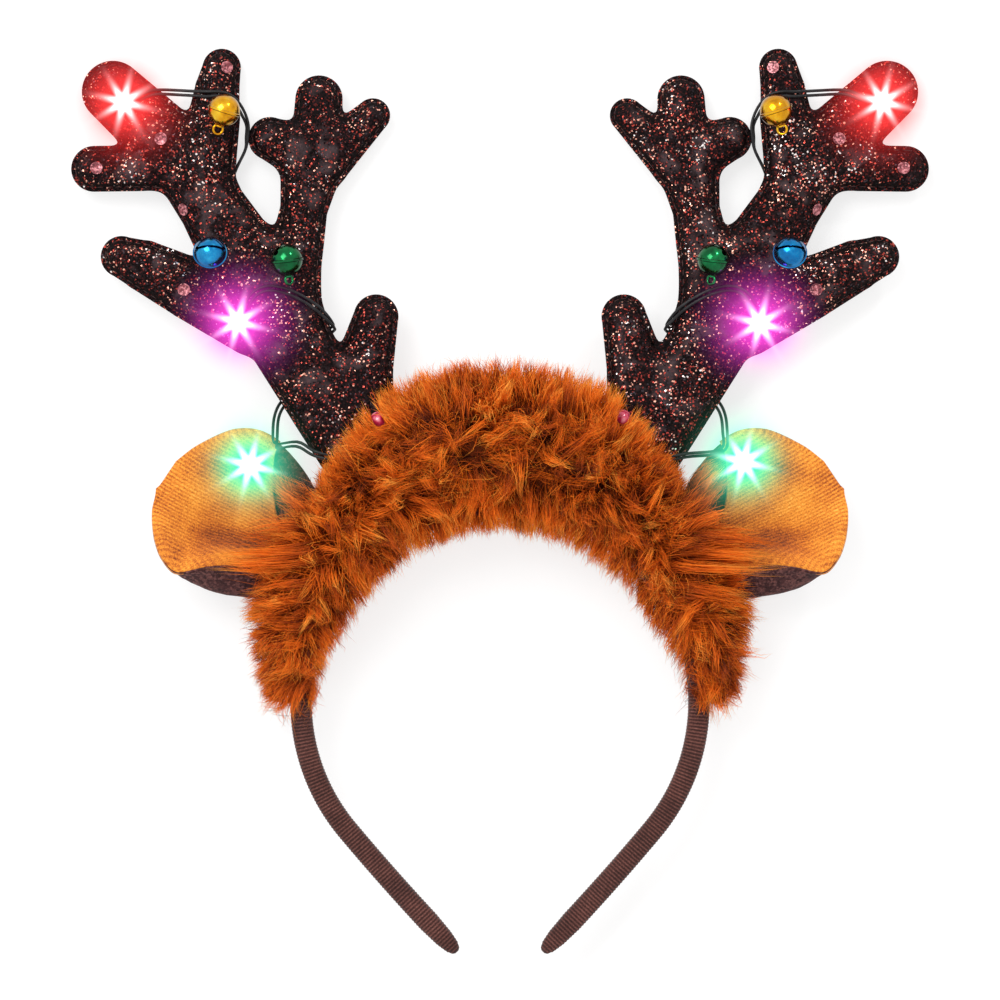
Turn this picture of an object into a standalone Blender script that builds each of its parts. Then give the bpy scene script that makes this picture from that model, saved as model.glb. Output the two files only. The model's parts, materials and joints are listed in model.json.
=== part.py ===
"""Reindeer antler headband, lying on its back: antlers towards +Y, its front up, the floor at Z = 0.

A U-shaped band wrapped in ribbon carries a fur trim over its crown, two padded antlers and two ears.
Lamps on thin wires and jingle bells sit on the antlers, and one lamp on each ear.
Working values are millimetres. A place on a side is (out, y): out is the distance from the mid plane.
"""

import math

import bmesh
import bpy
import numpy as np
from mathutils import Matrix, Vector, geometry
from mathutils.bvhtree import BVHTree

MM = 0.001
GAP = 0.35  # between two pieces that touch
POCKET = 0.45  # between the fur and what stands in it
SIDES = {"L": -1, "R": 1}

# Band
CROWN_RADIUS = 62.0
CROWN_Y = -61.7
WRAP_DEG = 130.0
LEG_LENGTH = 51.0
LEG_TURN_DEG = 4.0
BAND_THICK = 6.8
BAND_WIDE = 10.0
BAND_CHAMFER = 1.5
BAND_Z = 16.0
BAND_STEP = 10.5
TIP_ROWS = [  # distance from the end, size there
    (13.0, 1.0),
    (6.0, 0.88),
    (2.2, 0.68),
    (0.5, 0.42),
    (0.0, 0.2),
]

# Antlers: tapered strokes, each a row of (out, y, radius)
TINES = {
    "trunk": [(33.5, -3.0, 8.0), (43.5, 15.0, 12.0), (55.3, 33.5, 12.0), (64.5, 49.5, 12.8), (71.0, 66.0, 13.8)],
    "outer": [(77.0, 57.0, 10.8), (96.5, 67.3, 9.8), (111.0, 74.5, 8.1), (118.3, 77.4, 6.5)],
    "upper": [(71.0, 70.0, 13.0), (82.5, 80.5, 12.0), (90.0, 93.0, 10.5), (97.5, 107.0, 11.5)],
    "crown_out": [(102.0, 111.5, 11.0), (121.3, 129.3, 9.7)],
    "crown_side": [(100.0, 107.0, 9.0), (112.0, 105.2, 7.2), (127.0, 105.0, 7.2)],
    "crown_top": [(91.0, 108.0, 8.5), (89.6, 121.0, 8.2), (88.6, 130.0, 7.0), (87.2, 136.8, 6.0)],
    "inner": [(66.0, 68.0, 9.5), (63.2, 82.0, 8.2), (61.4, 92.0, 7.4), (59.5, 103.0, 9.3)],
    "inner_out": [(63.5, 111.0, 8.6), (72.0, 114.5, 6.8)],
    "inner_top": [(57.5, 112.0, 8.0), (56.7, 127.0, 7.4)],
    "inner_side": [(54.0, 108.0, 8.0), (39.8, 121.8, 5.4)],
    "short": [(44.8, 22.0, 11.8), (42.7, 42.0, 9.4), (38.7, 58.6, 7.0)],
}
TINE_BLEND = 3.0
ANTLER_FOOT = (0.0, 17.0)  # y and middle height of the antler's foot
ANTLER_START = (127.0, 112.0)
OUTLINE_WALK = 0.35
OUTLINE_STEP = 5.2
OUTLINE_TURN_DEG = 36.0
PAD_HALF = 4.4
PAD_EDGE_HALF = 0.7
PAD_SEAM = 0.8
PAD_SHOULDER = 7.5
PAD_GRID = 7.0
PAD_GRID_MARGIN = 2.6

# Fur: sections round the crown's centre
FUR_ROWS = [  # degrees from the top, inner radius, outer radius, low z, top z
    (0.0, 54.5, 104.0, 0.0, 40.0),
    (18.0, 54.0, 102.5, 0.0, 39.5),
    (30.0, 53.7, 96.5, 0.0, 38.0),
    (38.0, 53.5, 91.0, 0.0, 36.5),
    (46.0, 53.5, 87.5, 0.0, 35.5),
    (58.0, 53.5, 87.0, 0.0, 33.0),
    (70.0, 55.0, 82.0, 0.0, 31.0),
    (80.0, 56.5, 76.5, 0.0, 28.5),
    (87.0, 57.2, 72.5, 2.0, 26.0),
    (92.0, 57.8, 69.0, 6.5, 24.5),
]
FUR_STATIONS = 29
FUR_SECTION_POINTS = 11
FUR_MIDDLE = 0.42
FUR_LOCK = 7.5
FUR_LOCK_SPREAD = 0.45
FUR_SEED = 7

# Ears: sections round the crown's centre, in degrees from the top
EAR_ROWS = [  # radius, top deg, top z, face z, crease z, lip deg, lip z, belly deg, belly z, back z
    (66.2, 47.0, 17.5, 16.5, 16.0, 58.0, 18.0, 60.5, 15.0, 11.5),
    (78.0, 43.0, 18.0, 15.0, 13.0, 59.5, 21.0, 66.0, 14.0, 8.0),
    (90.0, 40.5, 18.5, 14.0, 11.5, 62.0, 25.0, 68.4, 15.0, 5.0),
    (100.0, 40.0, 19.0, 14.0, 12.0, 65.4, 26.0, 69.0, 16.0, 4.0),
    (108.0, 40.6, 19.5, 15.5, 15.0, 68.2, 25.0, 69.0, 17.0, 5.0),
    (114.5, 42.2, 20.0, 17.5, 18.0, 66.8, 24.0, 67.3, 18.0, 8.0),
    (119.5, 45.2, 20.5, 19.5, 19.8, 64.0, 22.5, 64.3, 19.0, 12.5),
    (122.6, 49.6, 21.0, 20.8, 20.8, 61.0, 21.4, 61.2, 20.0, 16.5),
    (124.0, 53.5, 21.0, 21.0, 21.0, 58.0, 21.0, 58.1, 20.4, 19.0),
]
EAR_CREASE_AT = 0.74
EAR_FACE_AT = 0.38
EAR_SHEET = 1.3
EAR_SHEET_LIFT = 0.75
EAR_STATIONS = 9
EAR_FACE_POINTS = 8
EAR_BACK_POINTS = 6
EAR_FACE_STARTS = [(0.0, 107.0), (0.3, 96.0), (0.55, 86.0), (1.0, 80.0)]  # across the ear, first radius
EAR_END_RADIUS = 123.9

# Lamps: radius and height down the side, and where each stands
LAMP_PROFILE = [(2.9, 0.0), (2.9, 0.8), (2.5, 0.8), (2.5, 3.2), (1.8, 4.8), (0.7, 5.5)]
LAMP_SIDES = 8
WELL_HEIGHT = 40.0
LAMPS = [  # name, out and y on the left, out and y on the right, what carries it, colour
    ("lamp_red", (117.4, 125.4), (119.3, 125.5), "antler", (0.9, 0.02, 0.02)),
    ("lamp_magenta", (81.5, 56.7), (80.8, 56.2), "antler", (0.85, 0.05, 0.6)),
    ("lamp_green", (77.6, 12.1), (75.6, 13.2), "ear_front", (0.05, 0.8, 0.4)),
    ("lamp_pink", (37.7, 26.0), (38.0, 26.6), "antler", (0.8, 0.05, 0.15)),
]

# Bells
BELL_RADIUS = 5.2
BELL_WALL = 0.7
BELL_SIDES = 10
BELL_RINGS = 5
BELL_SLOT = 1.0
BELL_SLOT_LENGTH = 8.4
LOOP_RADIUS = 1.5
LOOP_WIRE = 0.45
LOOP_LIFT = 0.9
LOOP_POINTS = 7
BELLS = [  # name, out, y, loop's direction in (out, y, z), colour
    ("bell_gold", (86.1, 122.8), (0.31, -0.95, -0.1), (0.85, 0.55, 0.08)),
    ("bell_blue", (90.2, 78.2), (0.05, -0.38, -0.92), (0.03, 0.35, 0.65)),
    ("bell_green", (66.4, 76.0), (-0.11, -0.99, -0.1), (0.02, 0.4, 0.15)),
]

# Wires: waypoints of (out, y, where): on the front, on the back, or a height in free air
WIRE_RADIUS = 0.5
WIRE_PAIR = 1.5
WIRE_STEP = 7.0
WIRE_CLEAR = 0.45
WIRE_SIDES_LEVEL = 1
WIRES = {
    "wire_top": [
        (113.8, 126.6, "front"),
        (107.6, 129.2, "front"),
        (101.5, 129.0, 7.6),
        (96.8, 128.6, 8.4),
        (91.2, 128.2, "front"),
        (86.0, 128.6, "front"),
        (81.6, 125.4, "front"),
        (78.8, 118.5, 7.4),
        (79.6, 111.0, 6.6),
        (84.5, 104.0, "back"),
        (86.0, 94.0, "back"),
        (79.0, 82.0, "back"),
        (73.5, 70.0, "back"),
        (71.0, 58.0, "back"),
    ],
    "wire_mid": [
        (79.4, 61.0, "front"),
        (77.0, 66.0, "front"),
        (72.0, 68.0, "front"),
        (65.8, 66.6, "front"),
        (59.4, 63.0, "front"),
        (54.8, 59.6, 14.4),
        (52.8, 55.2, 12.0),
        (57.5, 50.5, "back"),
        (64.0, 48.0, "back"),
    ],
    "wire_ear": [
        (58.5, 42.0, "back"),
        (63.0, 36.0, "back"),
        (68.4, 31.0, 13.0),
        (70.4, 26.0, 17.5),
        (70.0, 21.0, 23.6),
        (70.4, 17.0, 24.5),
        (66.0, 15.6, 24.6),
        (59.0, 15.8, 25.2),
        (53.0, 14.5, 25.8),
    ],
}

# Materials: base colour, roughness, metallic
FINISHES = {
    "band": ((0.10, 0.035, 0.025), 0.75, 0.0),
    "fur_trim": ((0.42, 0.12, 0.015), 0.85, 0.0),
    "antler": ((0.035, 0.018, 0.018), 0.45, 0.1),
    "ear_front": ((0.55, 0.22, 0.02), 0.85, 0.0),
    "ear_back": ((0.06, 0.025, 0.025), 0.9, 0.0),
    "wire": ((0.01, 0.01, 0.01), 0.4, 0.0),
}


def clear_file():
    """Remove every object that the file starts with."""
    for old in list(bpy.data.objects):
        bpy.data.objects.remove(old, do_unlink=True)


def material(name, colour, roughness, metallic):
    """One plain Principled material."""
    made = bpy.data.materials.new(name)
    made.use_nodes = True
    shader = made.node_tree.nodes["Principled BSDF"]
    shader.inputs["Base Color"].default_value = (*colour, 1.0)
    shader.inputs["Roughness"].default_value = roughness
    shader.inputs["Metallic"].default_value = metallic
    made.diffuse_color = (*colour, 1.0)
    return made


def add_object(name, points, faces, finish):
    """An object from points in millimetres and faces by number, its faces turned outwards."""
    mesh = bpy.data.meshes.new(name)
    mesh.from_pydata([tuple(MM * float(c) for c in point) for point in points], [], faces)
    work = bmesh.new()
    work.from_mesh(mesh)
    bmesh.ops.recalc_face_normals(work, faces=work.faces)
    bmesh.ops.triangulate(work, faces=work.faces)
    work.to_mesh(mesh)
    work.free()
    made = bpy.data.objects.new(name, mesh)
    bpy.context.scene.collection.objects.link(made)
    mesh.materials.append(material(name, *finish))
    mesh.shade_smooth()
    mesh.set_sharp_from_angle(angle=math.radians(40))
    return made


def mirrored(points, side):
    """The same points for one side of the head: out becomes -X on the left."""
    return [(side * out, y, z) for out, y, z in points]


def loft(rings, closed_ends=True):
    """Faces that join rings of equal length, with a flat cap on each end."""
    count = len(rings[0])
    points = [tuple(point) for ring in rings for point in ring]
    faces = []
    for row in range(len(rings) - 1):
        for k in range(count):
            a, b = row * count + k, row * count + (k + 1) % count
            faces.append((a, b, b + count, a + count))
    if closed_ends:
        faces.append(tuple(range(count))[::-1])
        faces.append(tuple(range(len(points) - count, len(points))))
    return points, faces


def smooth_rows(rows, at):
    """A table read between its rows by a smooth curve: the first column is where it is read."""
    table = np.array(rows, float)
    where = np.clip(at, table[0, 0], table[-1, 0])
    k = int(np.clip(np.searchsorted(table[:, 0], where) - 1, 0, len(table) - 2))
    width = table[k + 1, 0] - table[k, 0]
    t = (where - table[k, 0]) / width

    def slope(n):
        low, high = max(n - 1, 0), min(n + 1, len(table) - 1)
        return (table[high] - table[low]) / (table[high, 0] - table[low, 0])

    blend = (2 * t**3 - 3 * t**2 + 1, (t**3 - 2 * t**2 + t) * width, 3 * t**2 - 2 * t**3, (t**3 - t**2) * width)
    value = blend[0] * table[k] + blend[1] * slope(k) + blend[2] * table[k + 1] + blend[3] * slope(k + 1)
    return value[1:]


def polar(radius, degrees):
    """(out, y) of a point round the crown's centre, with the angle counted from the top."""
    angle = math.radians(degrees)
    return radius * math.sin(angle), CROWN_Y + radius * math.cos(angle)


def grown(source, by):
    """A cutter: a copy of what an object shows, whose faces all stand out by the given millimetres."""
    graph = bpy.context.evaluated_depsgraph_get()
    mesh = bpy.data.meshes.new_from_object(source.evaluated_get(graph))
    work = bmesh.new()
    work.from_mesh(mesh)
    bmesh.ops.remove_doubles(work, verts=work.verts, dist=0.00001)
    bmesh.ops.recalc_face_normals(work, faces=work.faces)
    work.normal_update()
    moves = []
    for vertex in work.verts:
        facing = min(vertex.normal.dot(face.normal) for face in vertex.link_faces)
        moves.append(vertex.normal * (by * MM / max(facing, 0.4)))
    for vertex, move in zip(work.verts, moves):
        vertex.co += move
    work.to_mesh(mesh)
    work.free()
    copy = bpy.data.objects.new(source.name + "_cutter", mesh)
    bpy.context.scene.collection.objects.link(copy)
    return copy


def boolean(target, cutters, operation="DIFFERENCE"):
    """Apply exact Booleans one after the other, keep the largest body and delete the cutters."""
    for cutter in cutters:
        step = target.modifiers.new("cut", "BOOLEAN")
        step.operation = operation
        step.solver = "EXACT"
        step.object = cutter
    graph = bpy.context.evaluated_depsgraph_get()
    graph.update()
    result = bpy.data.meshes.new_from_object(target.evaluated_get(graph))
    target.modifiers.clear()
    for cutter in cutters:
        bpy.data.objects.remove(cutter, do_unlink=True)
    keep_largest(result)
    result.name = target.name
    target.data = result


def keep_largest(mesh):
    """Delete every loose piece of a mesh but the one with the most faces, and its slivers."""
    work = bmesh.new()
    work.from_mesh(mesh)
    bmesh.ops.remove_doubles(work, verts=work.verts, dist=0.00001)
    bmesh.ops.dissolve_degenerate(work, edges=work.edges, dist=0.00001)
    bmesh.ops.triangulate(work, faces=work.faces)
    left = set(work.faces)
    bodies = []
    while left:
        front = [left.pop()]
        body = set(front)
        while front:
            for edge in front.pop().edges:
                new = [face for face in edge.link_faces if face in left]
                left.difference_update(new)
                body.update(new)
                front.extend(new)
        bodies.append(body)
    largest = max(bodies, key=len)
    spare = [face for face in work.faces if face not in largest]
    bmesh.ops.delete(work, geom=spare, context="FACES")
    work.to_mesh(mesh)
    work.free()


def band_point(length):
    """Centre (x, y) and heading angle of the band, by the length along it from the middle of the crown."""
    side = -1 if length < 0 else 1
    length = abs(length)
    wrap = math.radians(WRAP_DEG)
    arc = CROWN_RADIUS * wrap
    angle = min(length, arc) / CROWN_RADIUS
    x, y = CROWN_RADIUS * math.sin(angle), CROWN_Y + CROWN_RADIUS * math.cos(angle)
    if length > arc:
        rate = math.radians(LEG_TURN_DEG) / LEG_LENGTH
        angle = wrap + rate * (length - arc)
        x += (math.sin(angle) - math.sin(wrap)) / rate
        y += (math.cos(angle) - math.cos(wrap)) / rate
    return side * x, y, side * angle


def make_band():
    """The ribbon-wrapped band: an eight-sided section along the crown's arc and down both legs."""
    end = CROWN_RADIUS * math.radians(WRAP_DEG) + LEG_LENGTH
    body = np.linspace(0, end - TIP_ROWS[0][0], round(end / BAND_STEP))
    half = [(length, 1.0) for length in body] + [(end - back, size) for back, size in TIP_ROWS[1:]]
    stations = [(-length, size) for length, size in half[:0:-1]] + half
    a, b, c = BAND_THICK / 2, BAND_WIDE / 2, BAND_CHAMFER
    section = [(a, b - c), (a - c, b), (c - a, b), (-a, b - c), (-a, c - b), (c - a, -b), (a - c, -b), (a, c - b)]
    rings = []
    for length, size in stations:
        x, y, angle = band_point(length)
        outward = (math.sin(angle), math.cos(angle))
        rings.append([(x + size * u * outward[0], y + size * u * outward[1], BAND_Z + size * w) for u, w in section])
    return add_object("band", *loft(rings), FINISHES["band"])


def antler_field(out, y):
    """Signed distance to the antler's flat outline: its tapered strokes melted together, cut off at the band."""
    total = None
    for rows in TINES.values():
        stroke = None
        for (ax, ay, ar), (bx, by, br) in zip(rows, rows[1:]):
            ux, uy = bx - ax, by - ay
            t = np.clip(((out - ax) * ux + (y - ay) * uy) / (ux * ux + uy * uy), 0, 1)
            near = np.hypot(out - ax - t * ux, y - ay - t * uy) - (ar + t * (br - ar))
            stroke = near if stroke is None else np.minimum(stroke, near)
        if total is None:
            total = stroke
            continue
        h = np.clip(0.5 + 0.5 * (total - stroke) / TINE_BLEND, 0, 1)
        total = total * (1 - h) + stroke * h - TINE_BLEND * h * (1 - h)
    seat = CROWN_RADIUS + BAND_THICK / 2 + GAP
    return np.maximum(total, seat - np.hypot(out, y - CROWN_Y))


def slope_of(field, point):
    """The unit direction in which a field grows fastest."""
    e = 0.05
    gx = field(point[0] + e, point[1]) - field(point[0] - e, point[1])
    gy = field(point[0], point[1] + e) - field(point[0], point[1] - e)
    return np.array([gx, gy]) / max(math.hypot(gx, gy), 1e-9)


def outline_of(field, start):
    """The closed line where a field is zero, walked in small steps and thinned where it runs straight."""
    point = np.array(start, float)
    for _ in range(20):
        point = point - slope_of(field, point) * field(*point)
    walk = [point]
    heading = None
    while len(walk) < 12 or np.linalg.norm(walk[-1] - walk[0]) > OUTLINE_WALK * 0.7:
        grow = slope_of(field, walk[-1])
        point = walk[-1] + OUTLINE_WALK * np.array([-grow[1], grow[0]])
        for _ in range(2):
            point = point - slope_of(field, point) * field(*point)
        walk.append(point)
    kept, budget = [], 1.0
    for before, here in zip(walk, walk[1:]):
        way = math.atan2(*(here - before)[::-1])
        turn = 0 if heading is None else abs(math.remainder(way - heading, 2 * math.pi))
        heading = way
        budget += np.linalg.norm(here - before) / OUTLINE_STEP + math.degrees(turn) / OUTLINE_TURN_DEG
        if budget >= 1:
            kept.append(here)
            budget = 0
    if np.linalg.norm(kept[-1] - kept[0]) < OUTLINE_STEP / 3:
        kept.pop()
    return np.array(kept)


def pad_half(depth):
    """Half the pad's thickness by the distance inside its outline: a seam's edge, then a round shoulder."""
    t = np.clip((depth - PAD_SEAM) / PAD_SHOULDER, 0, 1)
    return PAD_EDGE_HALF + (PAD_HALF - PAD_EDGE_HALF) * np.sqrt(1 - (1 - t) ** 2)


def make_antlers():
    """Both padded antlers: two cloths joined round their edge, tilted so that the tips rest on the floor."""
    ring = outline_of(antler_field, ANTLER_START)
    low, high = ring.min(axis=0), ring.max(axis=0)
    inside = []
    for row, y in enumerate(np.arange(low[1], high[1], PAD_GRID * math.sqrt(0.75))):
        for out in np.arange(low[0] + (row % 2) * PAD_GRID / 2, high[0], PAD_GRID):
            if antler_field(out, y) < -PAD_GRID_MARGIN:
                inside.append((out, y))
    count = len(ring)
    flat = [Vector(p) for p in [*ring, *inside]]
    edges = [(k, (k + 1) % count) for k in range(count)]
    flat, _, faces, *_ = geometry.delaunay_2d_cdt(flat, edges, [], 1, 0.0001)
    flat = np.array([tuple(p) for p in flat])
    half = pad_half(-antler_field(flat[:, 0], flat[:, 1]))
    half[:count] = PAD_EDGE_HALF
    foot_y, foot_z = ANTLER_FOOT
    ahead = flat[:, 1] > foot_y + PAD_GRID
    tilt = ((foot_z - half[ahead]) / (flat[ahead, 1] - foot_y)).min()
    middle = foot_z - tilt * (flat[:, 1] - foot_y)
    front = np.column_stack([flat, middle + half])
    back = np.column_stack([flat, middle - half])
    points = [tuple(p) for p in front] + [tuple(p) for p in back]
    shift = len(front)
    sheets = [tuple(face) for face in faces] + [tuple(k + shift for k in face[::-1]) for face in faces]
    wall = [(a, b, b + shift, a + shift) for a, b in edges]
    return {
        name: add_object(f"antler_{name}", mirrored(points, side), sheets + wall, FINISHES["antler"])
        for name, side in SIDES.items()
    }


def ear_face(radius, across):
    """A point on the ear's golden face: across runs from the top edge, 0, over the crease to the lip, 1."""
    top_deg, top_z, face_z, crease_z, lip_deg, lip_z, *_ = smooth_rows(EAR_ROWS, radius)
    line = [(0.0, top_z), (EAR_FACE_AT, face_z), (EAR_CREASE_AT, crease_z), (1.0, lip_z)]
    z = smooth_rows(line, across)[0]
    return np.array([*polar(radius, top_deg + (lip_deg - top_deg) * across), z])


def ear_back(radius, across):
    """A point on the ear's brown back: across runs from the lip, 0, under the belly to the top edge, 1."""
    top_deg, top_z, _, _, lip_deg, lip_z, belly_deg, belly_z, back_z = smooth_rows(EAR_ROWS, radius)
    line = [
        (0.0, lip_deg, lip_z),
        (0.2, belly_deg, belly_z),
        (0.45, belly_deg * 0.7 + top_deg * 0.3, back_z),
        (0.8, belly_deg * 0.15 + top_deg * 0.85, back_z * 0.8 + top_z * 0.2),
        (1.0, top_deg, top_z),
    ]
    degrees, z = smooth_rows(line, across)
    return np.array([*polar(radius, degrees), z])


def face_normal(radius, across):
    """The outward normal of the golden face."""
    e_radius, e_across = 0.5, 0.02
    along = ear_face(radius + e_radius, across) - ear_face(radius - e_radius, across)
    over = ear_face(radius, min(across + e_across, 1)) - ear_face(radius, max(across - e_across, 0))
    normal = np.cross(over, along)
    normal *= np.sign(normal[2])
    return normal / np.linalg.norm(normal)


def make_ears():
    """Both ears: a stuffed brown back whose base reaches the band, and a golden face sheet sewn on it."""
    radii = EAR_ROWS[0][0] + (EAR_END_RADIUS - EAR_ROWS[0][0]) * np.sin(np.linspace(0, math.pi / 2, EAR_STATIONS + 2))
    rings = []
    for radius in radii:
        top = [ear_face(radius, v) for v in np.linspace(0, 1, EAR_FACE_POINTS)]
        under = [ear_back(radius, v) for v in np.linspace(0, 1, EAR_BACK_POINTS + 2)[1:-1]]
        rings.append(top + under)
    pad, pad_faces = loft(rings)
    outer, inner = [], []
    spread = np.sin(np.linspace(0, math.pi / 2, EAR_STATIONS))
    starts, acrosses = zip(*[(radius, across) for across, radius in EAR_FACE_STARTS])
    for v in np.linspace(0.02, 0.98, EAR_FACE_POINTS):
        first = np.interp(v, acrosses, starts)
        for radius in first + (EAR_END_RADIUS - first) * spread:
            point, normal = ear_face(radius, v), face_normal(radius, v)
            inner.append(point + normal * EAR_SHEET_LIFT)
            outer.append(point + normal * (EAR_SHEET_LIFT + EAR_SHEET))
    rows, columns = EAR_FACE_POINTS, EAR_STATIONS
    rings = []
    for row in range(rows):
        these = slice(row * columns, (row + 1) * columns)
        rings.append([*outer[these], *inner[these][::-1]])
    sheet, sheet_faces = loft(rings)
    ears = {}
    for name, side in SIDES.items():
        back = add_object(f"ear_back_{name}", mirrored(pad, side), pad_faces, FINISHES["ear_back"])
        face = add_object(f"ear_front_{name}", mirrored(sheet, side), sheet_faces, FINISHES["ear_front"])
        ears[name] = (face, back)
    return ears


def tree_of(*objects):
    """A search tree over the faces that some objects show, in metres."""
    graph = bpy.context.evaluated_depsgraph_get()
    graph.update()
    points, faces = [], []
    for item in objects:
        shape = item.evaluated_get(graph).to_mesh()
        start = len(points)
        points += [vertex.co.copy() for vertex in shape.vertices]
        faces += [tuple(start + k for k in face.vertices) for face in shape.polygons]
    return BVHTree.FromPolygons(points, faces)


def resting_height(tree, x, y, radius, side=1):
    """The height at which a ball touches a surface with GAP to spare: 1 from above, -1 from below."""
    above = Vector((x * MM, y * MM, side * 0.1))
    hit = tree.ray_cast(above, Vector((0, 0, -side)))[0]
    if hit is None:
        return tree.find_nearest(above)[0].z / MM
    far = hit.z / MM + side * 4 * radius
    near = hit.z / MM
    for _ in range(24):
        middle = (far + near) / 2
        distance = tree.find_nearest(Vector((x * MM, y * MM, middle * MM)))[3] / MM
        if distance > radius + GAP and side * (middle - hit.z / MM) > 0:
            far = middle
        else:
            near = middle
    return far


def turned(profile, sides):
    """Rings of a turned shape about Z, from (radius, height) down its side."""
    angles = [2 * math.pi * k / sides for k in range(sides)]
    return [[(r * math.cos(a), r * math.sin(a), h) for a in angles] for r, h in profile]


def make_lamps(antlers, ears):
    """Domed lamps with a flange, each standing on the cloth under it."""
    lamps = []
    for side_name, side in SIDES.items():
        carriers = {"antler": antlers[side_name], "ear_front": ears[side_name][0]}
        for name, left, right, carrier, colour in LAMPS:
            out, y = left if side_name == "L" else right
            tree = tree_of(carriers[carrier])
            rim = [resting_height(tree, side * out + dx, y + dy, 0.1) for dx, dy in rim_places(LAMP_PROFILE[0][0])]
            points, faces = loft(turned(LAMP_PROFILE, LAMP_SIDES))
            placed = [(side * out + px, y + py, max(rim) + pz) for px, py, pz in points]
            lamps.append(add_object(f"{name}_{side_name}", placed, faces, (colour, 0.2, 0.0)))
    return lamps


def rim_places(radius, count=12):
    """The middle and a ring of places round it."""
    ring = [(radius * math.cos(2 * math.pi * k / count), radius * math.sin(2 * math.pi * k / count))
            for k in range(count)]
    return [(0.0, 0.0), *ring]


def bell_shell():
    """A slotted hollow bell about the origin, its hanging loop at +Z."""
    outer = []
    inner = []
    for k in range(1, BELL_RINGS):
        angle = math.pi * k / BELL_RINGS
        outer.append((BELL_RADIUS * math.sin(angle), BELL_RADIUS * math.cos(angle)))
        wall = BELL_RADIUS - BELL_WALL
        inner.append((wall * math.sin(angle), wall * math.cos(angle)))
    shell = add_object("bell", *loft(turned(outer, BELL_SIDES)), FINISHES["wire"])
    hollow = add_object("hollow", *loft(turned(inner, BELL_SIDES - 4)), FINISHES["wire"])
    slot_size = (BELL_SLOT_LENGTH / 2, BELL_SLOT / 2)
    ring = [(sx * slot_size[0], sy * slot_size[1]) for sx, sy in ((-1, -1), (1, -1), (1, 1), (-1, 1))]
    slot_rings = [[(x, y, h) for x, y in ring] for h in (-BELL_RADIUS * 1.2, -1.2)]
    slot = add_object("slot", *loft(slot_rings), FINISHES["wire"])
    boolean(shell, [hollow, slot])
    return shell


def make_loop():
    """A small wire ring above the bell's pole, lying in the XZ plane."""
    rings = []
    for k in range(LOOP_POINTS):
        angle = 2 * math.pi * k / LOOP_POINTS
        centre = (LOOP_RADIUS * math.cos(angle), LOOP_RADIUS * math.sin(angle))
        out = (math.cos(angle), math.sin(angle))
        lift = BELL_RADIUS + LOOP_LIFT
        rings.append([
            (centre[0] + LOOP_WIRE * u * out[0], LOOP_WIRE * w, lift + centre[1] + LOOP_WIRE * u * out[1])
            for u, w in ((1, 0), (0, 1), (-1, 0), (0, -1))
        ])
    points, faces = loft(rings + rings[:1], closed_ends=False)
    count = len(points) - 4
    faces = [tuple(k % count for k in face) for face in faces]
    return add_object("loop", points[:count], faces, FINISHES["wire"])


def make_bells(antlers):
    """Three bells on each antler, each lying on the cloth with its loop turned its own way."""
    shell = bell_shell()
    boolean(shell, [make_loop()], "UNION")
    bells = []
    for side_name, side in SIDES.items():
        tree = tree_of(antlers[side_name])
        for name, (out, y), (lean_out, lean_y, lean_z), colour in BELLS:
            turn = Vector((side * lean_out, lean_y, lean_z)).to_track_quat("Z", "Y").to_matrix().to_4x4()
            mesh = shell.data.copy()
            mesh.transform(turn)
            places = [(vertex.co.x / MM, vertex.co.y / MM, vertex.co.z / MM) for vertex in mesh.vertices]
            height = resting_height(tree, side * out, y, BELL_RADIUS)
            for px, py, pz in places:
                hit = tree.ray_cast(Vector((side * out * MM + px * MM, (y + py) * MM, 0.1)), Vector((0, 0, -1)))[0]
                if hit is not None:
                    height = max(height, hit.z / MM + GAP - pz)
            mesh.transform(Matrix.Translation((side * out * MM, y * MM, height * MM)))
            made = bpy.data.objects.new(f"{name}_{side_name}", mesh)
            bpy.context.scene.collection.objects.link(made)
            mesh.materials.clear()
            mesh.materials.append(material(made.name, colour, 0.2, 1.0))
            mesh.shade_smooth()
            mesh.set_sharp_from_angle(angle=math.radians(40))
            bells.append(made)
    bpy.data.objects.remove(shell, do_unlink=True)
    return bells


def smooth_line(points, step):
    """A smooth curve through points, read about every step."""
    points = [Vector(p) for p in points]
    ends = [2 * points[0] - points[1], *points, 2 * points[-1] - points[-2]]
    line = []
    for k in range(1, len(ends) - 2):
        before, a, b, after = ends[k - 1 : k + 3]
        count = max(1, round((b - a).length / step))
        for n in range(count):
            t = n / count
            line.append(0.5 * (2 * a + (b - before) * t + (2 * before - 5 * a + 4 * b - after) * t**2
                               + (3 * a - before - 3 * b + after) * t**3))
    return [*line, points[-1]]


def pushed_clear(tree, point, reach):
    """A point in millimetres, moved off the nearest surface until it is out of its reach."""
    point = Vector(point)
    for _ in range(6):
        near, normal, _, distance = tree.find_nearest(point * MM)
        away = point - near / MM
        inside = away.dot(normal) < 0
        short = reach + distance / MM if inside else reach - distance / MM
        if short <= 0:
            break
        point += (normal if inside or away.length < 0.01 else away.normalized()) * (short + 0.02)
    return point


def threaded(tree, line):
    """A wire's line kept clear of the surfaces near it, with points added where a straight run would cut in."""
    reach = WIRE_RADIUS + WIRE_CLEAR
    line = [pushed_clear(tree, point, reach) for point in line]
    for _ in range(3):
        finer = [line[0]]
        for a, b in zip(line, line[1:]):
            middle = (a + b) / 2
            if tree.find_nearest(middle * MM)[3] / MM < reach - WIRE_CLEAR / 2:
                finer.append(pushed_clear(tree, middle, reach))
            finer.append(b)
        line = finer
    return line


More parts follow.
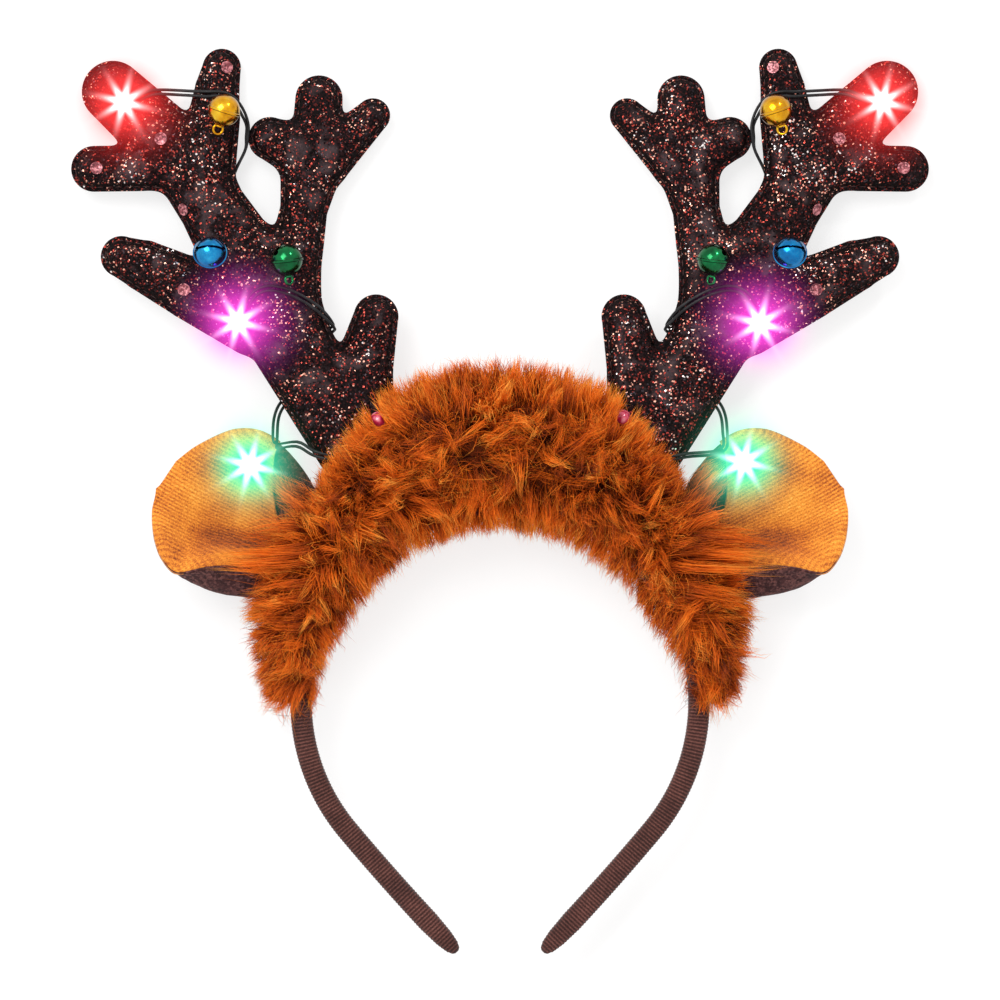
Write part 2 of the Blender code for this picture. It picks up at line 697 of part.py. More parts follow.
def make_wires(antlers, others):
    """Three pairs of thin wires a side, resting on the antler's cloth in front and behind."""
    wires = []
    for side_name, side in SIDES.items():
        rest_on = tree_of(antlers[side_name])
        near = [item for item in others if item.name.endswith(side_name)]
        keep_off = tree_of(*near)
        for name, route in WIRES.items():
            line = []
            for out, y, where in route:
                if where == "front":
                    where = resting_height(rest_on, side * out, y, WIRE_RADIUS)
                elif where == "back":
                    where = resting_height(rest_on, side * out, y, WIRE_RADIUS, -1)
                line.append((side * out, y, where))
            line = threaded(keep_off, smooth_line(line, WIRE_STEP))
            first = add_wire(f"{name}_a_{side_name}", strand_of(keep_off, line, side * WIRE_PAIR / 2))
            both = tree_of(*near, first)
            second = add_wire(f"{name}_b_{side_name}", strand_of(both, line, -side * WIRE_PAIR / 2))
            wires += [first, second]
    return wires


def strand_of(tree, line, shift):
    """A line moved sideways along the surface under it, so that two strands lie beside each other."""
    moved = []
    sideways = None
    for k, point in enumerate(line):
        way = (line[min(k + 1, len(line) - 1)] - line[max(k - 1, 0)]).normalized()
        away = (point - tree.find_nearest(point * MM)[0] / MM).normalized()
        across = way.cross(away).normalized()
        if sideways is not None:
            across = (sideways + across * (1 if across.dot(sideways) > 0 else -1)).normalized()
        sideways = across
        moved.append(point + across * shift)
    return threaded(tree, moved)


def add_wire(name, line):
    """A round wire along a line, as a curve with filled ends."""
    curve = bpy.data.curves.new(name, "CURVE")
    curve.dimensions = "3D"
    curve.bevel_depth = WIRE_RADIUS * MM
    curve.bevel_resolution = WIRE_SIDES_LEVEL
    curve.use_fill_caps = True
    spline = curve.splines.new("POLY")
    spline.points.add(len(line) - 1)
    for point, place in zip(spline.points, line):
        point.co = (*(Vector(place) * MM), 1.0)
    made = bpy.data.objects.new(name, curve)
    bpy.context.scene.collection.objects.link(made)
    curve.materials.append(material(name, *FINISHES["wire"]))
    return made


def lamp_well(lamp):
    """A cutter that opens the fur in front of a lamp."""
    places = [vertex.co / MM for vertex in lamp.data.vertices]
    middle = sum(places, Vector()) / len(places)
    foot = min(p.z for p in places)
    reach = LAMP_PROFILE[0][0] + POCKET
    rings = turned([(reach, foot - POCKET), (reach, foot + WELL_HEIGHT)], LAMP_SIDES)
    points, faces = loft(rings)
    return add_object("well", [(middle.x + px, middle.y + py, pz) for px, py, pz in points], faces, FINISHES["wire"])


def make_fur(pockets, lamps):
    """The fur trim: a flat-backed roll over the crown, covered in pointed locks, with a pocket round what it holds."""
    draw = np.random.default_rng(FUR_SEED)
    end = FUR_ROWS[-1][0]
    rings = []
    for station, degrees in enumerate(np.linspace(-end, end, FUR_STATIONS)):
        inner, outer, low, top = smooth_rows(FUR_ROWS, abs(degrees))
        low = max(low, 0.0)
        ring = []
        for k in range(FUR_SECTION_POINTS):
            angle = 2 * math.pi * (k + 0.5 * (station % 2)) / FUR_SECTION_POINTS
            radius = (inner + outer) / 2 + (outer - inner) / 2 * math.cos(angle)
            middle = low + (top - low) * FUR_MIDDLE
            reach = top - middle
            z = max(middle + reach * math.sin(angle), low)
            ring.append((*polar(radius, degrees), z))
        rings.append(ring)
    points, faces = loft(rings)
    points = [Vector(p) for p in points]
    locked = []
    for face in faces[:-2]:
        corners = [points[k] for k in face]
        centre = sum(corners, Vector()) / 4
        normal = (corners[2] - corners[0]).cross(corners[3] - corners[1]).normalized()
        spin = Vector(draw.uniform(-1, 1, 3)) * FUR_LOCK_SPREAD
        if max(p.z for p in corners) < 1.0:
            locked.append(face)
            continue
        tip = centre + (normal + spin).normalized() * FUR_LOCK * draw.uniform(0.55, 1.1)
        tip.z = max(tip.z, 0.3)
        points.append(tip)
        locked += [(face[k], face[(k + 1) % 4], len(points) - 1) for k in range(4)]
    fur = add_object("fur_trim", points, locked + faces[-2:], FINISHES["fur_trim"])
    fur.data.shade_flat()
    boolean(fur, [grown(item, POCKET) for item in pockets] + [lamp_well(lamp) for lamp in lamps])
    return fur


def centre_on_floor(objects):
    """Move everything so that its footprint's middle is at the origin."""
    graph = bpy.context.evaluated_depsgraph_get()
    graph.update()
    low, high = [], []
    for item in objects:
        shape = item.evaluated_get(graph).to_mesh()
        places = np.array([vertex.co[:] for vertex in shape.vertices])
        low.append(places.min(axis=0))
        high.append(places.max(axis=0))
    middle = (np.min(low, axis=0) + np.max(high, axis=0)) / 2
    for item in objects:
        item.data.transform(Matrix.Translation((-middle[0], -middle[1], 0.0)))
    print("size in mm", np.round((np.max(high, axis=0) - np.min(low, axis=0)) / MM, 2))
    print("lowest point in mm", round(float(np.min(low, axis=0)[2]) / MM, 4))
    print("moved by", np.round(-middle[:2] / MM, 3), "mm")


def main():
    clear_file()
    band = make_band()
    antlers = make_antlers()
    ears = make_ears()
    lamps = make_lamps(antlers, ears)
    bells = make_bells(antlers)
    cloth = [*antlers.values(), *[piece for pair in ears.values() for piece in pair]]
    wires = make_wires(antlers, [*cloth, *lamps, *bells])
    ear_wires = [wire for wire in wires if "ear" in wire.name]
    pink_lamps = [lamp for lamp in lamps if "pink" in lamp.name]
    fur = make_fur([band, *cloth, *ear_wires], pink_lamps)
    centre_on_floor([band, fur, *cloth, *lamps, *bells, *wires])


main()
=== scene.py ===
# %% [markdown]
# # A reindeer antler headband
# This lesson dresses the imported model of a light-up headband: a band wrapped in ribbed ribbon, a fur trim
# over its crown, two padded glitter antlers, two ears, small lamps on thin wires and jingle bells.
# It lies on its back on a pale floor, its front up, and the camera looks straight down on it.
# The frame is in metres. Sizes below are in millimetres and are multiplied by MM where they meet Blender.

# %% Load the frame
import json
import math

import bmesh
import bpy
import numpy as np
from mathutils import Matrix, Vector, geometry, noise
from mathutils.bvhtree import BVHTree
from mathutils.kdtree import KDTree

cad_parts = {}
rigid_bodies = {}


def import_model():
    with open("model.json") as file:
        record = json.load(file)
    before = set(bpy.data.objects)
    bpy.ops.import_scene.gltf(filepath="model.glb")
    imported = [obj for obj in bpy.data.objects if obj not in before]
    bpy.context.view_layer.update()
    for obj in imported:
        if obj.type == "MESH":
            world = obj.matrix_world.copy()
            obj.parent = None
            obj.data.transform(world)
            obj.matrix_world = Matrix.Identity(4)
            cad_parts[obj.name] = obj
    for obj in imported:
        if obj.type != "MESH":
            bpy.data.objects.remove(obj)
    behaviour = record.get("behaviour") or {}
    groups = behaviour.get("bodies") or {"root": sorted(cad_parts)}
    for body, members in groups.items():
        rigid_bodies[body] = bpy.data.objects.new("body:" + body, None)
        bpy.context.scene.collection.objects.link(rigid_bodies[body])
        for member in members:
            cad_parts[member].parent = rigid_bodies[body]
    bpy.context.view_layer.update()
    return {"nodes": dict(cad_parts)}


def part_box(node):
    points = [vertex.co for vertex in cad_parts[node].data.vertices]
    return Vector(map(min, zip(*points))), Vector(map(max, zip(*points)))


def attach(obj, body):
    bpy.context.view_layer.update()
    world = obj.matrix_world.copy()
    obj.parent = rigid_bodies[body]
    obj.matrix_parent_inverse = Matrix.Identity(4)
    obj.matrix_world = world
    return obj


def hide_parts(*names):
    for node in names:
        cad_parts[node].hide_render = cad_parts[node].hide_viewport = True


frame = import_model()
nodes = frame["nodes"]
MM = 0.001
SIDES = {"L": -1, "R": 1}


def linked(name, data):
    """A new object in the scene, at the origin."""
    item = bpy.data.objects.new(name, data)
    bpy.context.scene.collection.objects.link(item)
    return item


print("nodes in the frame:", len(nodes))

# %% [markdown]
# The camera stands 2.2 m above the floor with a long lens, so that the view is nearly parallel, as a
# catalogue picture's is. Its up side is +Y, so it needs no turn at all.

# %% Camera
CAMERA_HEIGHT = 2.2
VIEW_WIDTH = 0.314
SENSOR_MM = 36.0
camera_data = bpy.data.cameras.new("camera")
camera_data.sensor_width = SENSOR_MM
camera_data.lens = SENSOR_MM * CAMERA_HEIGHT / VIEW_WIDTH
camera_data.clip_end = 50.0
camera = linked("camera", camera_data)
camera.location = (0.0, 0.0, CAMERA_HEIGHT)
bpy.context.scene.camera = camera
print("lens", round(camera_data.lens, 1), "mm")

# %% [markdown]
# A catalogue picture has no hard shadows and a nearly white ground. A pale floor, a bright even world and
# one large soft light give that. The light comes from the upper left, so that round shapes still turn dark
# on one side. A second, small and weak light puts a bright point on what is polished.

# %% Light
WORLD_COLOUR = (1.0, 0.99, 0.98, 1.0)
WORLD_STRENGTH = 1.0
FLOOR_SIZE = 24.0
FLOOR_DROP = 0.0002
LIGHTS = {  # place, size, watts
    "softbox": ((-0.7, 0.8, 1.5), 0.9, 16.0),
    "small_light": ((0.5, 0.9, 0.7), 0.12, 2.2),
}


def soft_light(name, place, size, watts):
    """A square area light that faces the origin."""
    lamp = bpy.data.lights.new(name, "AREA")
    lamp.size = size
    lamp.energy = watts
    holder = linked(name, lamp)
    holder.location = place
    holder.rotation_euler = (-Vector(place)).to_track_quat("-Z", "Y").to_euler()


world = bpy.data.worlds.new("world")
world.use_nodes = True
world.node_tree.nodes["Background"].inputs["Color"].default_value = WORLD_COLOUR
world.node_tree.nodes["Background"].inputs["Strength"].default_value = WORLD_STRENGTH
bpy.context.scene.world = world
for name, settings in LIGHTS.items():
    soft_light(name, *settings)
bpy.context.scene.view_settings.view_transform = "Standard"
bpy.ops.mesh.primitive_plane_add(size=FLOOR_SIZE, location=(0, 0, -FLOOR_DROP))
floor = bpy.context.object
floor.name = "floor"
print("lights:", len(bpy.data.lights))

# %% [markdown]
# A lit lamp is far brighter than anything near it, and a real lens draws it as a star in a coloured haze.
# The compositor does the same with what is much brighter than white. One glare node draws eight rays. The
# same light, blurred, is the haze: it adds its own colour and takes away the two that it lacks, so it also
# shows on white.

# %% Star glare
RAY_THRESHOLD = 6.0
RAY_STRENGTH = 2.2
RAY_WHITE = 0.45
RAY_ANGLE_DEG = 31
RAY_FADE = 0.86
RAY_STEPS = 4
HAZE_SIZE = 62
HAZE_LIGHT = 2.3
HAZE_TINT = 2.5
scene = bpy.context.scene
scene.use_nodes = True
tree = scene.node_tree
tree.nodes.clear()


def picture_node(kind, settings=None, inputs=None):
    """A compositor node with its settings, and with values or links on its sockets."""
    node = tree.nodes.new(kind)
    for name, value in (settings or {}).items():
        setattr(node, name, value)
    for name, value in (inputs or {}).items():
        if isinstance(value, bpy.types.NodeSocket):
            tree.links.new(value, node.inputs[name])
        else:
            node.inputs[name].default_value = value
    return node


def picture_math(operation, first, second, clamped=False):
    settings = {"operation": operation, "use_clamp": clamped}
    return picture_node("CompositorNodeMath", settings, {0: first, 1: second}).outputs[0]


picture = picture_node("CompositorNodeRLayers").outputs["Image"]
rays = picture_node("CompositorNodeGlare", {"glare_type": "STREAKS", "quality": "HIGH"}, {
    "Image": picture, "Threshold": RAY_THRESHOLD, "Strength": 1.0, "Streaks": 8, "Iterations": RAY_STEPS,
    "Fade": RAY_FADE, "Streaks Angle": math.radians(RAY_ANGLE_DEG), "Color Modulation": 0.0})
haze = picture_node(
    "CompositorNodeBlur", {"filter_type": "FAST_GAUSS", "size_x": HAZE_SIZE, "size_y": HAZE_SIZE},
    {"Image": rays.outputs["Highlights"]}).outputs["Image"]
sources = (picture, rays.outputs["Glare"], haze)
split = [picture_node("CompositorNodeSeparateColor", None, {"Image": source}) for source in sources]
channels = [node.outputs[:3] for node in split]
ray_top, strongest = (picture_math("MAXIMUM", picture_math("MAXIMUM", red, green), blue)
                      for red, green, blue in channels[1:])
seen = []
for plain, ray, hazed in zip(*channels):
    lacking = picture_math("MULTIPLY", picture_math("SUBTRACT", strongest, hazed), HAZE_TINT, clamped=True)
    tinted = picture_math("MULTIPLY", plain, picture_math("SUBTRACT", 1.0, lacking))
    ray = picture_math("ADD", picture_math("MULTIPLY", ray, 1 - RAY_WHITE),
                       picture_math("MULTIPLY", ray_top, RAY_WHITE))
    shining = picture_math("ADD", picture_math("MULTIPLY", ray, RAY_STRENGTH),
                           picture_math("MULTIPLY", hazed, HAZE_LIGHT))
    seen.append(picture_math("ADD", tinted, shining))
whole_picture = picture_node("CompositorNodeCombineColor", None, dict(enumerate(seen))).outputs[0]
picture_node("CompositorNodeComposite", None, {"Image": whole_picture})
print("compositor nodes:", len(tree.nodes))

# %% [markdown]
# Materials are easier to read as sums than as boxes and wires. One small class wraps a socket, so that an
# expression on values adds its Math nodes. One method adds every other node.

# %% Sockets as values


class Value:
    """A socket that carries a number, a vector or a colour."""

    def __init__(self, finish, socket):
        self.finish = finish
        self.socket = socket

    def math(self, operation, other, flipped=False):
        first, second = (other, self) if flipped else (self, other)
        return self.finish.add("ShaderNodeMath", {"operation": operation}, {0: first, 1: second})

    def __add__(self, other):
        return self.math("ADD", other)

    __radd__ = __add__

    def __sub__(self, other):
        return self.math("SUBTRACT", other)

    def __rsub__(self, other):
        return self.math("SUBTRACT", other, flipped=True)

    def __mul__(self, other):
        return self.math("MULTIPLY", other)

    __rmul__ = __mul__

    def __truediv__(self, other):
        return self.math("DIVIDE", other)

    def __pow__(self, other):
        return self.math("POWER", other)

    def above(self, limit):
        return self.math("GREATER_THAN", limit)

    def kept(self):
        """Held between 0 and 1."""
        return self.finish.add("ShaderNodeClamp", {}, {"Value": self})


class Finish:
    """One material and the nodes that make it."""

    def __init__(self, name, **fixed):
        self.material = bpy.data.materials.new(name)
        self.material.use_nodes = True
        self.tree = self.material.node_tree
        self.shader = self.tree.nodes["Principled BSDF"]
        for socket, value in fixed.items():
            self.shader.inputs[socket.replace("_", " ")].default_value = value

    def add(self, kind, settings=None, inputs=None, take=0):
        """A node of one type: its settings are set first, then its sockets, and one output is returned."""
        node = self.tree.nodes.new(kind)
        for name, value in (settings or {}).items():
            if name == "stops":
                self.set_stops(node, value)
            else:
                setattr(node, name, value)
        for name, value in (inputs or {}).items():
            if isinstance(value, Value):
                self.tree.links.new(value.socket, node.inputs[name])
            else:
                node.inputs[name].default_value = value
        return Value(self, node.outputs[take])

    def set_stops(self, node, stops):
        """A ramp's stops, from (place, colour)."""
        elements = node.color_ramp.elements
        while len(elements) > 1:
            elements.remove(elements[-1])
        for k, (place, colour) in enumerate(stops):
            stop = elements[0] if k == 0 else elements.new(place)
            stop.position = place
            stop.color = (*colour, 1.0)

    def place(self):
        """Where a point is on the object, in metres."""
        return self.add("ShaderNodeTexCoord", take="Object")

    def attribute(self, name):
        return self.add("ShaderNodeAttribute", {"attribute_name": name}, take="Fac")

    def noise(self, size, detail=2.0, roughness=0.5):
        """Soft noise whose lumps are about the given millimetres across."""
        return self.add("ShaderNodeTexNoise", {}, {
            "Vector": self.place(), "Scale": 1 / (size * MM), "Detail": detail, "Roughness": roughness})

    def cells(self, size):
        """A random colour for each cell of about the given millimetres."""
        inputs = {"Vector": self.place(), "Scale": 1 / (size * MM)}
        return self.add("ShaderNodeTexVoronoi", {"feature": "F1"}, inputs, take="Color")

    def part(self, colour, name):
        """One channel of a colour."""
        return self.add("ShaderNodeSeparateColor", {}, {"Color": colour}, take=name)

    def ramp(self, factor, stops, interpolation="LINEAR"):
        node = self.add("ShaderNodeValToRGB", {"stops": stops}, {"Fac": factor})
        node.socket.node.color_ramp.interpolation = interpolation
        return node

    def blend(self, factor, first, second):
        """A colour between two colours."""
        first, second = (c if isinstance(c, Value) else (*c, 1.0) for c in (first, second))
        return self.add("ShaderNodeMix", {"data_type": "RGBA"}, {0: factor, 6: first, 7: second}, take=2)

    def distance(self, point):
        """How far a point of the surface is from a place given in metres."""
        return self.arrow("DISTANCE", self.place(), point, take="Value")

    def arrow(self, operation, first, second=None, take=0):
        """A sum on vectors."""
        inputs = {0: first} if second is None else {0: first, "Scale" if operation == "SCALE" else 1: second}
        return self.add("ShaderNodeVectorMath", {"operation": operation}, inputs, take=take)

    def bump(self, height, depth):
        """A normal from a height between 0 and 1 that stands for a depth in millimetres."""
        return self.add("ShaderNodeBump", {}, {"Height": height, "Distance": depth * MM, "Strength": 1.0})

    def feed(self, **links):
        """Links into the shader's sockets."""
        for name, value in links.items():
            self.tree.links.new(value.socket, self.shader.inputs[name.replace("_", " ")])
        return self


FLOOR_GLOW = 0.70
WHITE = (1.0, 1.0, 1.0)
paper = Finish("white_paper", Roughness=1.0, Emission_Color=(*WHITE, 1.0), Emission_Strength=FLOOR_GLOW)
paper.feed(Base_Color=paper.blend(paper.noise(40.0), (0.30, 0.30, 0.30), (0.33, 0.33, 0.33)))
floor.data.materials.append(paper.material)
print("shader helpers ready")

# %% [markdown]
# Every soft piece is made from lists of points and faces. One helper turns them into an object at the origin,
# with its faces turned outwards, and another says what it rides on and which node it stands for.

# %% Pieces from points


def mesh_piece(name, points, faces, finish):
    """A smooth object from points in millimetres and faces by number."""
    mesh = bpy.data.meshes.new(name)
    corners = [tuple(int(k) for k in face) for face in faces]
    mesh.from_pydata((np.asarray(points, float) * MM).tolist(), [], corners)
    work = bmesh.new()
    work.from_mesh(mesh)
    bmesh.ops.recalc_face_normals(work, faces=work.faces)
    work.to_mesh(mesh)
    work.free()
    mesh.shade_smooth()
    mesh.materials.append(finish.material)
    return linked(name, mesh)


def store(mesh, name, values):
    """Keep one number for each point of a mesh, for its finish to read."""
    mesh.attributes.new(name, "FLOAT", "POINT").data.foreach_set("value", np.asarray(values, float))


def settle(piece, slot, *stands_for):
    """The piece rides on the headband and replaces its CAD nodes. Its slot is not used."""
    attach(piece, "root")
    if stands_for:
        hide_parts(*stands_for)
    return piece


def join_rings(count, rows):
    """Faces between rings of equal length, and one over each end."""
    faces = []
    for row in range(rows - 1):
        for k in range(count):
            a, b = row * count + k, row * count + (k + 1) % count
            faces.append((a, b, b + count, a + count))
    return [*faces, tuple(range(count))[::-1], tuple(range((rows - 1) * count, rows * count))]


def deselect():
    """Leave edit mode and select nothing."""
    if bpy.context.object and bpy.context.object.mode != "OBJECT":
        bpy.ops.object.mode_set(mode="OBJECT")
    bpy.ops.object.select_all(action="DESELECT")


def select_only(*pieces):
    """Select these objects alone, the first one active."""
    deselect()
    for piece in pieces:
        piece.select_set(True)
    bpy.context.view_layer.objects.active = pieces[0]


def select_where(piece, faces=None, vertices=None):
    """In edit mode, select the faces or the vertices for which a test holds."""
    bpy.ops.mesh.select_all(action="DESELECT")
    work = bmesh.from_edit_mesh(piece.data)
    bpy.context.tool_settings.mesh_select_mode = (not faces, False, bool(faces))
    test = faces or vertices
    for item in work.faces if faces else work.verts:
        item.select_set(bool(test(item)))
    work.select_flush_mode()
    bmesh.update_edit_mesh(piece.data)


def copied(piece, name, turn, place):
    """A copy with its own mesh, turned and moved inside that mesh. The place is in millimetres."""
    mesh = piece.data.copy()
    mesh.transform(turn.to_4x4())
    mesh.transform(Matrix.Translation(Vector(place) * MM))
    return linked(name, mesh)


def polar(radius, degrees):
    """(out, y) round the centre of the band's crown, with the angle counted from the top."""
    angle = np.radians(degrees)
    return radius * np.sin(angle), CROWN_Y + radius * np.cos(angle)


print("piece helpers ready")

# %% [markdown]
# ## The band
# The real band is a flat plastic hoop, wrapped tightly in ribbed ribbon: fine ribs run across it about every
# millimetre. A section that is spun round the crown's centre, and on round a far centre for each leg, gives
# rings half a millimetre apart. Pulling in every second ring makes each rib real.

# %% Band shape
CROWN_Y = -63.054
CROWN_RADIUS = 62.0
WRAP_DEG = 130.0
LEG_LENGTH = 51.0
LEG_TURN_DEG = 4.0
BAND_THICK = 6.8
BAND_WIDE = 10.0
BAND_CORNER = 2.6
BAND_Z = 16.0
RIB_PITCH = 1.05
RIB_DEPTH = 0.2
TIP_ROWS = [(13.0, 1.0), (6.0, 0.88), (2.2, 0.68), (0.5, 0.42), (0.0, 0.2)]  # distance from the tip, size
BAND_ARC = CROWN_RADIUS * math.radians(WRAP_DEG)  # half of the crown's arc, in millimetres
HALF_PITCH = BAND_ARC / round(BAND_ARC / RIB_PITCH * 2)


def leg_centre(side):
    """The far centre that a leg turns about, as (x, y)."""
    reach = CROWN_RADIUS - LEG_LENGTH / math.radians(LEG_TURN_DEG)
    wrap = math.radians(WRAP_DEG)
    return side * reach * math.sin(wrap), CROWN_Y + reach * math.cos(wrap)


def band_length(x, y):
    """How far along the band a point lies, in millimetres from the middle of the crown."""
    angle = math.atan2(x, y - CROWN_Y)
    wrap = math.radians(WRAP_DEG)
    if abs(angle) <= wrap + 0.0001:
        return CROWN_RADIUS * angle
    side = 1 if angle > 0 else -1
    cx, cy = leg_centre(side)
    sweep = math.atan2(side * (x - cx), y - cy)
    return side * (CROWN_RADIUS * wrap + (sweep - wrap) / math.radians(LEG_TURN_DEG) * LEG_LENGTH)


def spin_ring(steps, degrees, centre):
    """Spin the selected ring about an upright axis at (x, y)."""
    bpy.ops.mesh.spin(steps=steps, angle=math.radians(degrees), axis=(0, 0, 1),
                      center=(centre[0] * MM, centre[1] * MM, 0))


def select_band(band, test):
    """Select the vertices of the band whose length along it passes a test."""
    select_where(band, vertices=lambda v: test(band_length(v.co.x / MM, v.co.y / MM)))


def make_band(finish):
    """The ribbed band: a rounded section, spun along the crown's arc to the left, then down both legs."""
    deselect()
    bpy.ops.mesh.primitive_plane_add(size=1.0)
    band = bpy.context.object
    band.name = "band_wrap"
    bpy.ops.object.mode_set(mode="EDIT")
    bpy.ops.transform.resize(value=(BAND_THICK * MM, BAND_WIDE * MM, 1.0), center_override=(0, 0, 0))
    bpy.ops.mesh.bevel(offset=BAND_CORNER * MM, segments=4, affect="VERTICES")
    bpy.ops.mesh.delete(type="ONLY_FACE")
    bpy.ops.mesh.select_all(action="SELECT")
    bpy.ops.transform.rotate(value=math.pi / 2, orient_axis="X", center_override=(0, 0, 0))
    bpy.ops.transform.translate(value=(CROWN_RADIUS * MM, CROWN_Y * MM, BAND_Z * MM))
    past_side = math.radians(WRAP_DEG - 90)
    bpy.ops.transform.rotate(value=past_side, orient_axis="Z", center_override=(0, CROWN_Y * MM, 0))
    leg_steps = round(LEG_LENGTH / HALF_PITCH)
    spin_ring(round(2 * BAND_ARC / HALF_PITCH), -2 * WRAP_DEG, (0, CROWN_Y))
    spin_ring(leg_steps, -LEG_TURN_DEG, leg_centre(-1))
    select_band(band, lambda length: length > BAND_ARC - HALF_PITCH / 2)
    spin_ring(leg_steps, LEG_TURN_DEG, leg_centre(1))
    bpy.ops.mesh.select_all(action="SELECT")
    bpy.ops.mesh.fill_holes(sides=0)
    bpy.ops.mesh.normals_make_consistent(inside=False)
    end = BAND_ARC + LEG_LENGTH
    select_band(band, lambda length: round(length / HALF_PITCH) % 2 == 0 and abs(length) < end - 1)
    bpy.ops.transform.shrink_fatten(value=-RIB_DEPTH * MM)
    shape_band_tips(band, end)
    bpy.ops.object.mode_set(mode="OBJECT")
    bpy.ops.object.shade_smooth()
    band.data.materials.append(finish.material)
    return band


def shape_band_tips(band, end):
    """Make the last rings of each leg smaller towards its tip."""
    backs, sizes = zip(*reversed(TIP_ROWS))
    for side in (-1, 1):
        cx, cy = leg_centre(side)
        radius = math.hypot(cx, cy - CROWN_Y) + CROWN_RADIUS
        for k in range(int(TIP_ROWS[0][0] / HALF_PITCH)):
            at = end - k * HALF_PITCH
            sweep = math.radians(WRAP_DEG + LEG_TURN_DEG * (at - end + LEG_LENGTH) / LEG_LENGTH)
            x, y = cx + side * radius * math.sin(sweep), cy + radius * math.cos(sweep)
            size = float(np.interp(k * HALF_PITCH, backs, sizes))
            select_band(band, lambda length: abs(side * length - at) < HALF_PITCH / 2)
            bpy.ops.transform.resize(value=(size, size, size), center_override=Vector((x, y, BAND_Z)) * MM)


# %% [markdown]
# Grosgrain ribbon is matt. Its crests are painted lighter and redder, a painted highlight where they catch
# the light, and its grooves darker, a painted shade, so that between the ribs it is nearly black. The threads
# of each rib make short dashes along it, and the cloth's tone drifts a little from place to place.

# %% Ribbon finish
ribbon = Finish("brown_ribbon", Roughness=0.8, Sheen_Weight=0.08, Specular_IOR_Level=0.2)
threads = ribbon.noise(0.45, detail=3.0, roughness=0.7)
drift = ribbon.noise(9.0)
rib = ribbon.attribute("rib")
# Painted light and shade: the rib term makes the crests lighter, a painted highlight, and the grooves darker,
# a painted shade.
tone = (rib * 0.45 + threads * 0.95 + drift * 0.4 - 0.5).kept()
ribbon_colour = ribbon.ramp(tone, [(0.0, (0.008, 0.003, 0.003)), (0.35, (0.045, 0.015, 0.012)),
                                   (0.7, (0.16, 0.058, 0.046)), (1.0, (0.42, 0.20, 0.16))])
ribbon.feed(Base_Color=ribbon_colour, Normal=ribbon.bump(threads, 0.12))


# %% Make the band
band = make_band(ribbon)
lengths = [band_length(v.co.x / MM, v.co.y / MM) for v in band.data.vertices]
store(band.data, "rib", [round(length / HALF_PITCH) % 2 for length in lengths])  # 1 on a crest, 0 in a groove
settle(band, "band_ribbon", "band")
print("band:", len(band.data.vertices), "points, size in mm", np.round(np.array(band.dimensions) / MM, 1))

# %% [markdown]
# ## The antlers
# Each antler is two cut cloths, sewn together round the edge and stuffed with a thin filling, so it is a flat
# cushion: full in the middle, thin at the seam, with small puckers where the thread pulls. Its outline is a
# set of tapered strokes melted together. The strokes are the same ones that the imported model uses.

# %% Antler outline
TINES = {  # rows of (out, y, radius), out from the middle of the head
    "trunk": [(33.5, -4.35, 8.0), (43.5, 13.65, 12.0), (55.3, 32.15, 12.0), (64.5, 48.15, 12.8),
              (71.0, 64.65, 13.8)],
    "outer": [(77.0, 55.65, 10.8), (96.5, 65.95, 9.8), (111.0, 73.15, 8.1), (118.3, 76.05, 6.5)],
    "upper": [(71.0, 68.65, 13.0), (82.5, 79.15, 12.0), (90.0, 91.65, 10.5), (97.5, 105.65, 11.5)],
    "crown_out": [(102.0, 110.15, 11.0), (121.3, 127.95, 9.7)],
    "crown_side": [(100.0, 105.65, 9.0), (112.0, 103.85, 7.2), (127.0, 103.65, 7.2)],
    "crown_top": [(91.0, 106.65, 8.5), (89.6, 119.65, 8.2), (88.6, 128.65, 7.0), (87.2, 135.45, 6.0)],
    "inner": [(66.0, 66.65, 9.5), (63.2, 80.65, 8.2), (61.4, 90.65, 7.4), (59.5, 101.65, 9.3)],
    "inner_out": [(63.5, 109.65, 8.6), (72.0, 113.15, 6.8)],
    "inner_top": [(57.5, 110.65, 8.0), (56.7, 125.65, 7.4)],
    "inner_side": [(54.0, 106.65, 8.0), (39.8, 120.45, 5.4)],
    "short": [(44.8, 20.65, 11.8), (42.7, 40.65, 9.4), (38.7, 57.25, 7.0)],
}
TINE_BLEND = 3.0
ANTLER_SEAT = CROWN_RADIUS + BAND_THICK / 2 + 0.35
ANTLER_START = (127.0, 110.65)
ANTLER_FOOT = (-1.354, 17.0)
OUTLINE_STEP = 0.9


def antler_field(out, y):
    """Signed distance to the antler's flat outline: its strokes melted together, cut off at the band."""
    total = None
    for rows in TINES.values():
        stroke = None
        for (ax, ay, ar), (bx, by, br) in zip(rows, rows[1:]):
            ux, uy = bx - ax, by - ay
            t = np.clip(((out - ax) * ux + (y - ay) * uy) / (ux * ux + uy * uy), 0, 1)
            near = np.hypot(out - ax - t * ux, y - ay - t * uy) - (ar + t * (br - ar))
            stroke = near if stroke is None else np.minimum(stroke, near)
        if total is None:
            total = stroke
            continue
        h = np.clip(0.5 + 0.5 * (total - stroke) / TINE_BLEND, 0, 1)
        total = total * (1 - h) + stroke * h - TINE_BLEND * h * (1 - h)
    return np.maximum(total, ANTLER_SEAT - np.hypot(out, y - CROWN_Y))


def field_slope(points):
    """The direction in which the field grows, at many points."""
    e = 0.05
    out, y = points[:, 0], points[:, 1]
    slope = np.column_stack([antler_field(out + e, y) - antler_field(out - e, y),
                             antler_field(out, y + e) - antler_field(out, y - e)])
    return slope / np.maximum(np.linalg.norm(slope, axis=1, keepdims=True), 1e-9)


